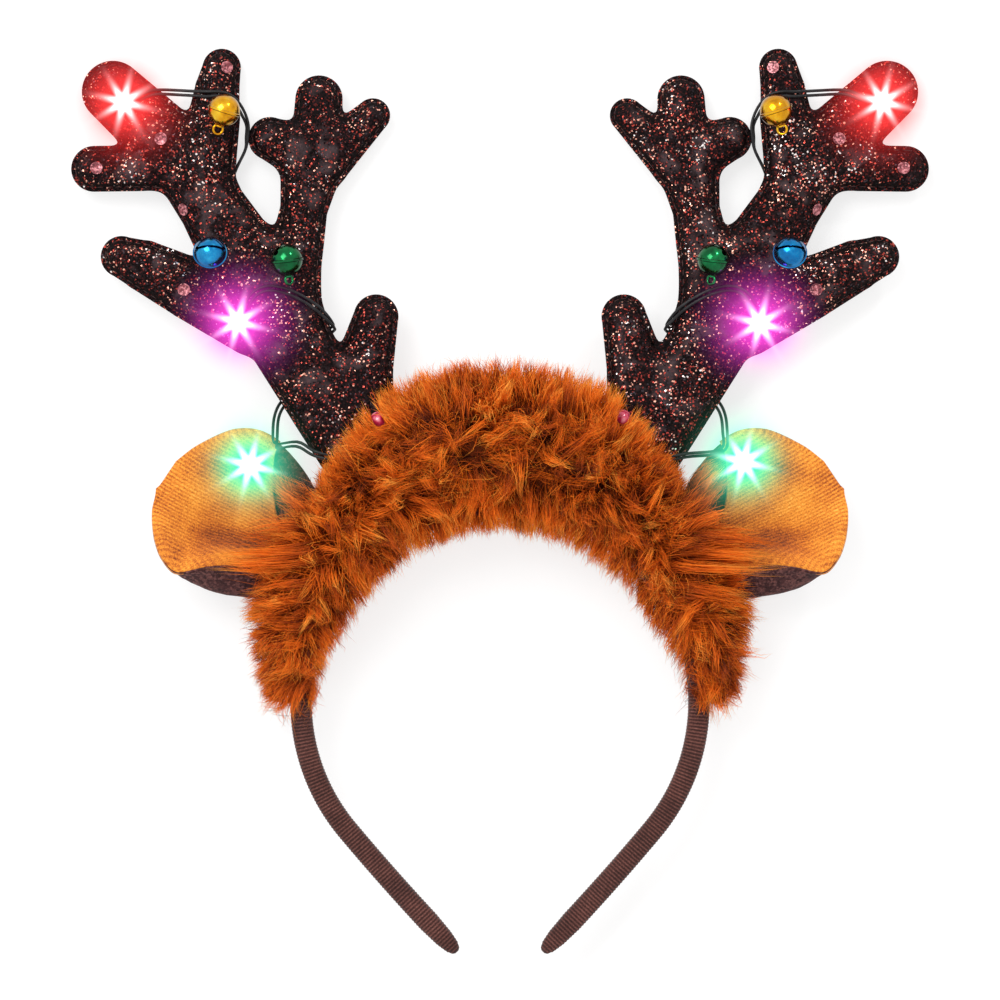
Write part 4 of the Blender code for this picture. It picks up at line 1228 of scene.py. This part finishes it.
# %% Place the lamps
diode = lamp_shape()
for name in LAMPS:
    for side_name in SIDES:
        foot = lamp_middle(name, side_name)
        foot.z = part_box(f"{name}_{side_name}")[0][2]
        lamp = copied(diode, f"{name}_dome_{side_name}", Matrix.Identity(3), foot / MM)
        settle(dressed(lamp, lenses.get((name, side_name), dark_lens)), name, f"{name}_{side_name}")
bpy.data.objects.remove(diode, do_unlink=True)
print("lamps:", 2 * len(LAMPS))

# %% [markdown]
# ## The bells
# A jingle bell is two pressed half shells, closed by a folded rim. The lower half has a slot that ends in two
# round holes, and a small ball rolls inside. A wire loop hangs at the top. The sphere gets its rim by
# extruding the middle ring, a wall by Solidify, and its slot by cutting with a Boolean.

# %% Bell shape
BELL_RADIUS = 5.2
BELL_WALL = 0.45
BELL_RIM = 0.3
SLOT_WIDE = 0.8
SLOT_END = 0.95
SLOT_REACH = 4.35
SLOT_END_DROP = 2.9
LOOP_RADIUS = 1.5
LOOP_WIRE = 0.42
LOOP_RISE = 0.9
COLLAR_RADIUS = 1.25
COLLAR_TALL = 0.7
COLLAR_Z = 5.05
BALL_RADIUS = 1.7
BALL_AT = (0.6, 0.2, -2.6)
BELLS = {  # (out, y, z), the way its loop points and its roll about that way, in degrees
    "bell_gold": ((86.1, 121.446, 14.726), (0.31, -0.95, -0.1), 15),
    "bell_blue": ((90.2, 76.846, 20.95), (0.05, -0.38, -0.92), 0),
    "bell_green": ((66.4, 74.646, 19.574), (-0.11, -0.99, -0.1), 45),
}


def apply_modifier(piece, kind, **settings):
    """Add a modifier, set it and apply it."""
    select_only(piece)
    step = piece.modifiers.new("step", kind)
    for name, value in settings.items():
        setattr(step, name, value)
    bpy.ops.object.modifier_apply(modifier=step.name)


def apply_with(piece, tool, operation):
    """Join another solid to the piece, or cut it away, and remove the other one."""
    apply_modifier(piece, "BOOLEAN", operation=operation, solver="EXACT", object=tool)
    bpy.data.objects.remove(tool, do_unlink=True)


def slot_cutter():
    """The slot with its two round ends: a bar under the bell, and a rod that leans out at each end."""
    bpy.ops.mesh.primitive_cube_add(size=1.0, location=(0, 0, -4.2 * MM))
    parts = [bpy.context.object]
    parts[0].scale = (2 * SLOT_REACH * MM, SLOT_WIDE * MM, 5.0 * MM)
    for end in (-1, 1):
        tilt = end * math.atan2(SLOT_REACH, SLOT_END_DROP)
        place = (end * SLOT_REACH * MM, 0, -SLOT_END_DROP * MM)
        bpy.ops.mesh.primitive_cylinder_add(vertices=20, radius=SLOT_END * MM, depth=3.0 * MM, location=place,
                                            rotation=(0, -tilt, 0))
        parts.append(bpy.context.object)
    for part in parts:
        select_only(part)
        bpy.ops.object.transform_apply(location=True, rotation=True, scale=True)
    for part in parts[1:]:
        apply_with(parts[0], part, "UNION")
    return parts[0]


def bell_shape():
    """One bell about the origin, its loop at +Z."""
    deselect()
    bpy.ops.mesh.primitive_uv_sphere_add(segments=48, ring_count=32, radius=(BELL_RADIUS - 0.12) * MM)
    shell = bpy.context.object
    bpy.ops.object.mode_set(mode="EDIT")
    select_where(shell, faces=lambda f: abs(f.calc_center_median().z) < 0.6 * MM)
    bpy.ops.mesh.extrude_region_shrink_fatten(TRANSFORM_OT_shrink_fatten={"value": BELL_RIM * MM})
    bpy.ops.transform.resize(value=(1.0, 1.0, 0.55), center_override=(0, 0, 0))
    bpy.ops.object.mode_set(mode="OBJECT")
    apply_modifier(shell, "SOLIDIFY", thickness=BELL_WALL * MM, offset=-1.0)
    apply_with(shell, slot_cutter(), "DIFFERENCE")
    select_only(shell)
    bpy.ops.object.shade_smooth_by_angle(angle=math.radians(40))
    return shell


def bell_fittings():
    """The hanging loop, its collar and the loose ball inside."""
    bpy.ops.mesh.primitive_torus_add(
        major_radius=LOOP_RADIUS * MM, minor_radius=LOOP_WIRE * MM, major_segments=32, minor_segments=12,
        location=(0, 0, (BELL_RADIUS + LOOP_RISE) * MM), rotation=(math.pi / 2, 0, 0))
    loop = bpy.context.object
    bpy.ops.mesh.primitive_cylinder_add(vertices=24, radius=COLLAR_RADIUS * MM, depth=COLLAR_TALL * MM,
                                        location=(0, 0, COLLAR_Z * MM))
    collar = bpy.context.object
    apply_modifier(collar, "BEVEL", width=0.22 * MM, segments=3)
    ball_place = Vector(BALL_AT) * MM
    bpy.ops.mesh.primitive_ico_sphere_add(subdivisions=3, radius=BALL_RADIUS * MM, location=ball_place)
    select_only(loop, collar, bpy.context.object)
    bpy.ops.object.transform_apply(location=True, rotation=True, scale=True)
    bpy.ops.object.join()
    bpy.ops.object.shade_smooth_by_angle(angle=math.radians(40))
    return bpy.context.object


def bell_metal(name, dark, middle, light):
    """Lacquered metal: bright, with painted shade that darkens it towards its edge, small scuffs and pressed
    marks.
    """
    metal = Finish(name, Metallic=1.0, Coat_Weight=0.3, Coat_Roughness=0.06)
    scuffs = metal.noise(1.6, 4.0, 0.7)
    tone = (metal.noise(4.5) * 0.7 + scuffs * 0.3).kept()
    # Painted shade: the colour turns darker where the surface turns away from the view, towards the bell's
    # edge.
    turned = metal.add("ShaderNodeLayerWeight", {}, {"Blend": 0.42}, take="Facing")
    colour = metal.ramp(tone, [(0.3, dark), (0.5, middle), (0.72, light)])
    return metal.feed(Base_Color=metal.blend(turned, colour, tuple(0.25 * c for c in dark)),
                      Roughness=0.12 + scuffs * 0.16, Normal=metal.bump(metal.noise(3.2, 1.0), 0.12))


metals = {
    "bell_gold": bell_metal("gold_metal", (0.50, 0.19, 0.0), (0.85, 0.40, 0.003), (1.0, 0.66, 0.04)),
    "bell_blue": bell_metal("blue_metal", (0.0, 0.08, 0.28), (0.0, 0.20, 0.52), (0.03, 0.46, 0.82)),
    "bell_green": bell_metal("green_metal", (0.0, 0.05, 0.015), (0.0, 0.15, 0.04), (0.01, 0.34, 0.10)),
}

# %% Place the bells
shell, fittings = bell_shape(), bell_fittings()
bell = joined([shell, fittings], "bell", metals["bell_gold"])
for name, ((out, y, z), (way_out, way_y, way_z), roll) in BELLS.items():
    for side_name, side in SIDES.items():
        loop_way = Vector((side * way_out, way_y, way_z)).normalized()
        across = (Vector((side, 0, 0)) - loop_way * side * loop_way.x).normalized()
        turn = Matrix((across, loop_way.cross(across), loop_way)).transposed()
        turn = turn @ Matrix.Rotation(side * math.radians(roll), 3, "Z")
        piece = copied(bell, f"{name}_shell_{side_name}", turn, (side * out, y, z))
        settle(dressed(piece, metals[name]), name, f"{name}_{side_name}")
print("bell:", len(bell.data.polygons), "faces each")
bpy.data.objects.remove(bell, do_unlink=True)

# %% [markdown]
# ## The wires
# The lamps hang on pairs of thin black wires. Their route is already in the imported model, so each one starts
# as a copy of its node. Its doubled corners are merged, and subdividing makes the six-sided tube round.

# %% Wires
WIRE_SWELL = 0.07  # subdividing makes a tube thinner by about this much
wire_cover = Finish("black_wire_cover", Roughness=0.32, Specular_IOR_Level=0.22)
wire_tone = wire_cover.ramp(wire_cover.noise(3.0), [
    (0.35, (0.006, 0.006, 0.007)), (0.7, (0.022, 0.021, 0.023))])
wire_cover.feed(Base_Color=wire_tone, Normal=wire_cover.bump(wire_cover.noise(1.2), 0.05))


def make_wire(node_name):
    """A round wire from its node's own mesh."""
    mesh = nodes[node_name].data.copy()
    work = bmesh.new()
    work.from_mesh(mesh)
    bmesh.ops.remove_doubles(work, verts=work.verts, dist=0.01 * MM)
    bmesh.ops.join_triangles(work, faces=work.faces, angle_face_threshold=1.5, angle_shape_threshold=1.5)
    work.to_mesh(mesh)
    work.free()
    wire = linked(f"{node_name}_round", mesh)
    apply_modifier(wire, "SUBSURF", levels=2, render_levels=2)
    apply_modifier(wire, "DISPLACE", strength=WIRE_SWELL * MM, mid_level=0.0)
    wire.data.shade_smooth()
    return dressed(wire, wire_cover)


for node_name in sorted(nodes):
    if node_name.startswith("wire_"):
        wire = settle(make_wire(node_name), "wire_cover", node_name)
print("wire:", len(wire.data.polygons), "faces in the last one")

# %% [markdown]
# ## The fur
# The trim is a long-haired feather fur. Its hairs stand in small tufts: they rise from the skin, lean the
# same way and close to a point, and neighbouring tufts swirl apart, with dark gaps between them. A smooth
# dark core carries them. Each hair is a thin closed rod with three sides, so it stays a real shape in the
# meshes.

# %% Fur core
FUR_ROWS = [  # degrees from the top, inner radius, outer radius, low z, top z
    (0.0, 54.5, 104.0, 0.0, 40.0),
    (18.0, 54.0, 102.5, 0.0, 39.5),
    (30.0, 53.7, 96.5, 0.0, 38.0),
    (38.0, 53.5, 91.0, 0.0, 36.5),
    (46.0, 53.5, 87.5, 0.0, 35.5),
    (58.0, 53.5, 87.0, 0.0, 33.0),
    (70.0, 55.0, 82.0, 0.0, 31.0),
    (80.0, 56.5, 76.5, 0.0, 28.5),
    (87.0, 57.2, 72.5, 2.0, 26.0),
    (92.0, 57.8, 69.0, 6.5, 24.5),
]
FUR_EDGE = [  # degrees from the top, how far in and how far out the tips reach
    (0, 53.0, 108.5), (17, 53.0, 106.0), (26, 52.8, 101.0), (30, 52.7, 97.0), (35, 52.6, 94.0),
    (37, 53.0, 91.5), (43, 52.8, 87.0), (48, 52.6, 88.5), (58, 52.2, 92.0), (65, 51.8, 88.0),
    (70, 53.0, 86.0), (76, 55.8, 80.5), (84, 57.3, 76.5), (92, 58.8, 71.5), (97, 61.0, 66.0),
]
FUR_MIDDLE = 0.42
CORE_INSET = 7.0
CORE_LEAST = 3.2
CORE_END = FUR_ROWS[-1][0] - 5


def read_rows(rows, degrees):
    """A table's columns, read at angles from the top."""
    table = np.array(rows, float)
    return [np.interp(degrees, table[:, 0], column) for column in table.T[1:]]


def fur_point(degrees, turn):
    """Points of the fur's core and their outward directions. turn goes round the section, and 90 is up."""
    inner, outer, low, top = read_rows(FUR_ROWS, np.abs(degrees))
    middle_radius = (inner + outer) / 2
    middle_z = low + (top - low) * FUR_MIDDLE
    wide = np.maximum((outer - inner) / 2 - CORE_INSET, CORE_LEAST)
    tall = np.maximum(top - middle_z - CORE_INSET, CORE_LEAST)
    angle = np.radians(turn)
    radius = middle_radius + wide * np.cos(angle)
    z = np.maximum(middle_z + tall * np.sin(angle), low + 0.4)
    x, y = polar(radius, degrees)
    lean, lift = np.cos(angle) / wide, np.sin(angle) / tall
    size = np.hypot(lean, lift)
    around = np.radians(degrees)
    normal = np.stack([lean / size * np.sin(around), lean / size * np.cos(around), lift / size], axis=-1)
    return np.stack([x, y, z], axis=-1), normal


def make_core(finish, stations=90, section=28):
    """The smooth roll under the hairs."""
    turns = np.linspace(0, 360, section, endpoint=False)
    rings = [fur_point(np.full(section, d), turns)[0] for d in np.linspace(-CORE_END, CORE_END, stations)]
    return mesh_piece("fur_core", np.concatenate(rings), join_rings(section, stations), finish)


# %% [markdown]
# All hairs are worked out together, as arrays. A tuft has a root on the core, a length, a lean and a tip. The
# lean mixes the way out of the skin, a flow that runs down the sides and out over the ears, and a swirl of
# its own. Both the draws and the noise have a fixed seed, so the same fur grows each time.

# %% Tufts
FUR_SEED = 11
NOISE_SEED = 5
COATS = [  # tufts; hairs in each, spread at the root, looseness, thickness, room past the edge, tone shift
    (1250, (30, 1.6, 1.0, 0.13, 0.0, 0.0)),
    (5200, (3, 2.6, 2.2, 0.085, 1.2, 0.05)),
]
LOCK_COAT = (34, 1.2, 1.6, 0.10, 16.0, 0.0)
HAIR_RINGS = (0.0, 0.3, 0.65, 1.0)
LAMP_CLEARING = 1.7
LEAST_HEIGHT = 0.35
DEEPEST_DIP = 9.0
EAR_LOCKS = [  # root and tip (out, y, z) of the long locks that lie over the ears and down the legs
    ((54.4, -8.6, 31), (67.3, 1.7, 27)), ((58.3, -3.5, 30), (69.9, 6.9, 25)),
    ((56.0, -12.0, 31), (70.5, -7.0, 27)), ((60.5, 2.0, 28), (70.5, 12.0, 24)),
    ((60.0, -10.0, 29), (80.0, -12.5, 24)),
    ((56.0, -13.8, 31), (89.0, -15.5, 26)), ((58.0, -16.5, 31), (85.0, -18.0, 28)),
    ((54.5, -19.0, 31), (88.0, -20.0, 28)), ((53.1, -24.1, 30), (76.5, -27.3, 25)),
    ((55.0, -29.0, 29), (76.0, -31.5, 22)), ((58.3, -37.1, 27), (80.2, -36.6, 18)),
    ((60.9, -44.8, 26), (75.0, -48.0, 17)), ((62.1, -50.0, 24), (76.3, -56.4, 15)),
    ((62.4, -56.4, 23), (71.5, -66.8, 15)), ((61.0, -54.0, 24), (65.0, -68.5, 19)),
]
LOCK_TUFTS = 4
draw = np.random.default_rng(FUR_SEED)
noise.seed_set(NOISE_SEED)


def unit(vectors):
    """Vectors with the length 1."""
    return vectors / np.maximum(np.linalg.norm(vectors, axis=-1, keepdims=True), 1e-9)


def swirl_field(points, seed, size):
    """A smooth random direction for each point."""
    values = [noise.noise_vector(Vector(p) / size + Vector((seed, 0, 0))) for p in points]
    return np.array([tuple(v) for v in values])


def spread_tufts(count):
    """Where the tufts stand, evenly over the core's outer side: degrees and turn."""
    degrees, turns = [], []
    while len(degrees) < count:
        d, turn = draw.uniform(-CORE_END, CORE_END), draw.uniform(-38, 218)
        inner, outer, *_ = read_rows(FUR_ROWS, abs(d))
        bend = (80 + 25 * math.cos(math.radians(turn))) / 105
        if draw.uniform() < (outer - inner) / 50 * bend:
            degrees.append(d)
            turns.append(turn)
    return np.array(degrees), np.array(turns)


def tuft_flow(degrees, turns):
    """The way in which the fur is brushed: out at the rim, in under the crown, and down both sides."""
    around = np.radians(degrees)
    outward = np.stack([np.sin(around), np.cos(around), np.zeros_like(around)], axis=-1)
    down = np.stack([np.cos(around), -np.sin(around), np.zeros_like(around)], axis=-1)
    down *= np.sign(degrees)[:, None]
    side = np.clip((np.abs(degrees) - 30) / 40, 0, 1)
    rim = np.cos(np.radians(turns))
    return outward * (rim * (0.9 - 0.25 * side))[:, None] + down * (0.1 + 1.15 * side)[:, None]


def grow_tufts(count):
    """Roots, normals, tips, bows and tones of the tufts."""
    degrees, turns = spread_tufts(count)
    roots, normals = fur_point(degrees, turns)
    flow = tuft_flow(degrees, turns)
    edge = np.clip((np.abs(np.cos(np.radians(turns))) - 0.45) / 0.45, 0, 1)
    swirl = swirl_field(roots, 3.0, 8.0) * 1.9 + draw.normal(0, 0.36, roots.shape)
    way = unit(normals * (0.5 + 0.15 * edge)[:, None] + flow * (0.45 + 0.45 * edge)[:, None]
               + swirl * (0.95 - 0.75 * edge)[:, None])
    facing = np.sum(way * normals, axis=1)
    way = unit(way + normals * np.clip(0.2 - facing, 0, 1)[:, None])
    length = draw.uniform(10.0, 16.5, count) * (1 - 0.2 * edge)
    tips = roots + way * length[:, None]
    bows = unit(swirl_field(roots, 9.0, 6.0) + draw.normal(0, 0.3, roots.shape))
    bows *= (length * (0.27 - 0.17 * edge))[:, None]
    bows += normals * (length * 0.14)[:, None]
    side = np.clip((np.abs(degrees) - 45) / 20, 0, 1)
    # Painted light and shade: tufts at the rim of the roll are lighter and those in its middle darker; tufts
    # down the sides are darker too.
    tones = 0.49 + (0.16 - 0.12 * side) * edge - 0.1 * side
    tones += draw.normal(0, 0.24, count) + 0.4 * swirl_field(roots, 17.0, 12.0)[:, 0]
    return roots, normals, tips, bows, np.clip(tones, 0, 1)


def ear_locks():
    """The long locks, each a few tufts side by side, in the same form as the other tufts."""
    roots, tips = [], []
    for root, tip in EAR_LOCKS:
        for side in (-1, 1):
            shake = draw.normal(0, 1.6, (LOCK_TUFTS, 3))
            roots += [np.array([side * root[0], root[1], root[2]]) + shift for shift in shake]
            tips += [np.array([side * tip[0], tip[1], tip[2]]) + shift * 1.3 for shift in shake]
    roots, tips = np.array(roots), np.array(tips)
    up = np.tile([0.0, 0.0, 1.0], (len(roots), 1))
    bows = up * 2.2 + draw.normal(0, 2.3, roots.shape)
    return roots, up, tips, bows, np.clip(draw.normal(0.72, 0.14, len(roots)), 0, 1)


def edge_radii(places):
    """How far points are from the crown's centre, and how far in and out the tips reach there."""
    degrees = np.degrees(np.arctan2(np.abs(places[:, 0]), places[:, 1] - CROWN_Y))
    return np.hypot(places[:, 0], places[:, 1] - CROWN_Y), *read_rows(FUR_EDGE, degrees)


def trimmed(start, end, curl, room):
    """Hairs cut back to the fur's edge, each to its own length, and which ones remain."""
    root, least, most = edge_radii(start)
    tip, low, high = edge_radii(end)
    ragged = draw.normal(0, 0.9, len(start)) + 3.6 * (draw.uniform(0, 1, len(start)) ** 6)
    high, low = high + ragged + room, low - ragged - room
    share = np.ones(len(start))
    over, under = tip > high, tip < low
    share[over] = ((high - root) / (tip - root))[over]
    share[under] = ((root - low) / (root - tip))[under]
    kept = (share > 0.3) & (root < most - 0.5 + room) & (root > least + 0.3 - room)
    share = np.clip(share, 0.3, 1)[:, None]
    return start + (end - start) * share, curl * share, kept


def grow_hairs(tufts, coat, solid):
    """One coat's hairs: their middle lines, an array of hairs by rings by three, their tone and thickness."""
    each, spread, loose, thick, room, shift = coat
    roots, normals, tips, bows, tones = (np.repeat(a, each, axis=0) for a in tufts)
    count = len(roots)
    off = draw.normal(0, spread, (count, 3))
    off -= normals * np.sum(off * normals, axis=1, keepdims=True)
    start = roots + off - normals * 1.0
    stray = draw.uniform(0, 1, count) ** 3
    reach = draw.uniform(0.5, 1.1, count)
    end = roots + (tips - roots) * reach[:, None] + off * 0.16
    end += draw.normal(0, 0.42 * loose, (count, 3)) * (0.5 + 3.0 * stray)[:, None]
    curl = bows * draw.uniform(0.5, 1.3, count)[:, None] + draw.normal(0, 0.32, (count, 3))
    end, curl, kept = trimmed(start, end, curl, room)
    rings = [start + (end - start) * t + curl * (4 * t * (1 - t)) for t in HAIR_RINGS]
    line = np.stack(rings, axis=1)[kept]
    line[:, :, 2] = np.maximum(line[:, :, 2], LEAST_HEIGHT)
    tone = np.clip(tones + shift + draw.normal(0, 0.11, count), 0, 1)[kept]
    kept = clear_of(line, solid) & clear_of_lamps(line)
    return line[kept], tone[kept], thick * draw.uniform(0.7, 1.25, kept.sum())


def clear_of_lamps(line):
    """Which hairs leave the unlit lamps to be seen."""
    kept = np.ones(len(line), bool)
    for side, (out, y) in zip(SIDES.values(), LAMPS["lamp_pink"]):
        for k in range(len(HAIR_RINGS) - 1):
            for t in (0.0, 0.33, 0.67, 1.0):
                spot = line[:, k] * (1 - t) + line[:, k + 1] * t
                kept &= np.hypot(spot[:, 0] - side * out, spot[:, 1] - y) > LAMP_CLEARING
    return kept


def clear_of(line, solid):
    """Which hairs don't start inside the cloth pieces. Those that dip into one are lifted over it."""
    keep = np.ones(len(line), bool)
    box_low, box_high, tree = solid
    ends = line[:, [0, -1]]
    near = np.all((ends > box_low - 1) & (ends < box_high + 1), axis=2).any(axis=1)
    for k in np.flatnonzero(near):
        for ring in range(line.shape[1]):
            x, y, z = line[k, ring]
            hit, _ = drop_on(tree, x, y)
            if hit is None or z > hit.z / MM + 0.2:
                continue
            under = tree.ray_cast(Vector((x, y, -1.0)) * MM, Vector((0, 0, 1)))[0]
            if under is not None and z < under.z / MM - 0.2:
                continue
            if ring == 0 or hit.z / MM - z > DEEPEST_DIP:
                keep[k] = False
                break
            line[k, ring, 2] = hit.z / MM + 0.3
    return keep


# %% Hair rods
HAIR_TAPER = 0.55
HAIR_PIECES = 5


def hair_mesh(name, line, tone, thick, finish):
    """One object of thin three-sided rods, with their tone and their place from root to tip."""
    count, rings, _ = line.shape
    way = unit(line[:, -1] - line[:, 0])
    side = unit(np.cross(way, unit(draw.normal(0, 1, way.shape))))
    other = np.cross(way, side)
    points = []
    for ring, t in enumerate(HAIR_RINGS[:-1]):
        radius = (thick * (1 - HAIR_TAPER * t))[:, None]
        for k in range(3):
            angle = 2 * math.pi * k / 3
            across = math.cos(angle) * side + math.sin(angle) * other
            points.append(line[:, ring] + radius * across)
    points.append(line[:, -1])
    per = len(points)
    points = np.stack(points, axis=1).reshape(-1, 3) * MM
    quads = [(3 * r + k, 3 * r + (k + 1) % 3, 3 * r + 3 + (k + 1) % 3, 3 * r + 3 + k)
             for r in range(rings - 2) for k in range(3)]
    last = 3 * (rings - 2)
    triangles = [(last + k, last + (k + 1) % 3, per - 1) for k in range(3)] + [(2, 1, 0)]
    pattern = np.concatenate([np.array(quads).ravel(), np.array(triangles).ravel()])
    corners = (np.arange(count)[:, None] * per + pattern).ravel()
    sizes = np.tile([4] * len(quads) + [3] * len(triangles), count)
    mesh = bpy.data.meshes.new(name)
    mesh.vertices.add(count * per)
    mesh.vertices.foreach_set("co", points.ravel())
    mesh.loops.add(len(corners))
    mesh.loops.foreach_set("vertex_index", corners.astype(np.int32))
    mesh.polygons.add(len(sizes))
    mesh.polygons.foreach_set("loop_start", np.concatenate([[0], np.cumsum(sizes)[:-1]]).astype(np.int32))
    mesh.update(calc_edges=True)
    mesh.shade_smooth()
    along = np.tile([t for t in HAIR_RINGS[:-1] for _ in range(3)] + [1.0], count)
    store(mesh, "along", along)
    store(mesh, "tone", np.repeat(tone, per))
    mesh.materials.append(finish.material)
    return linked(name, mesh)


# %% [markdown]
# The hair is rust orange. It is painted darkest at the root, as shade where no light reaches, and palest at
# the tips, where single hairs turn golden. Whole tufts differ in tone too: some at random, those down the
# sides darker, and those at the rim of the roll lighter than those in its middle, as painted light and shade.

# %% Fur finish
fur = Finish("rust_fur", Roughness=0.6, Specular_IOR_Level=0.14)
fur_mix = (fur.attribute("along") * 0.72 + fur.attribute("tone") * 0.72 - 0.25).kept()
fur.feed(Base_Color=fur.ramp(fur_mix, [
    (0.0, (0.03, 0.005, 0.002)), (0.25, (0.20, 0.028, 0.004)), (0.5, (0.60, 0.093, 0.006)),
    (0.75, (0.95, 0.190, 0.009)), (1.0, (1.0, 0.37, 0.050))]))
# The skin's dark colour is partly the backing's own and partly painted shade, for the gaps between the tufts.
skin = Finish("fur_skin", Roughness=0.9, Specular_IOR_Level=0.1)
skin.feed(Base_Color=skin.blend(skin.noise(3.0), (0.04, 0.007, 0.002), (0.16, 0.026, 0.004)))

# %% Make the fur
core = make_core(skin)
settle(core, "fur", "fur_trim")
soft_names = ("antler_cushion", "ear_pad", "ear_cloth")
solids = [item for item in bpy.data.objects if item.name.startswith(soft_names)]
corners = np.array([tuple(v.co) for item in solids for v in item.data.vertices]) / MM
solid = (corners.min(axis=0), corners.max(axis=0), surface_tree(*solids))
grown = [grow_hairs(grow_tufts(tufts), coat, solid) for tufts, coat in COATS]
grown.append(grow_hairs(ear_locks(), LOCK_COAT, solid))
line, tone, thick = (np.concatenate(part) for part in zip(*grown))
shares = np.array_split(np.argsort(line[:, 0, 0]), HAIR_PIECES)
for k, share in enumerate(shares):
    hairs = hair_mesh(f"fur_hair_{k + 1}", line[share], tone[share], thick[share], fur)
    settle(hairs, "fur")
print("hairs:", len(line), "faces in one piece:", len(hairs.data.polygons))
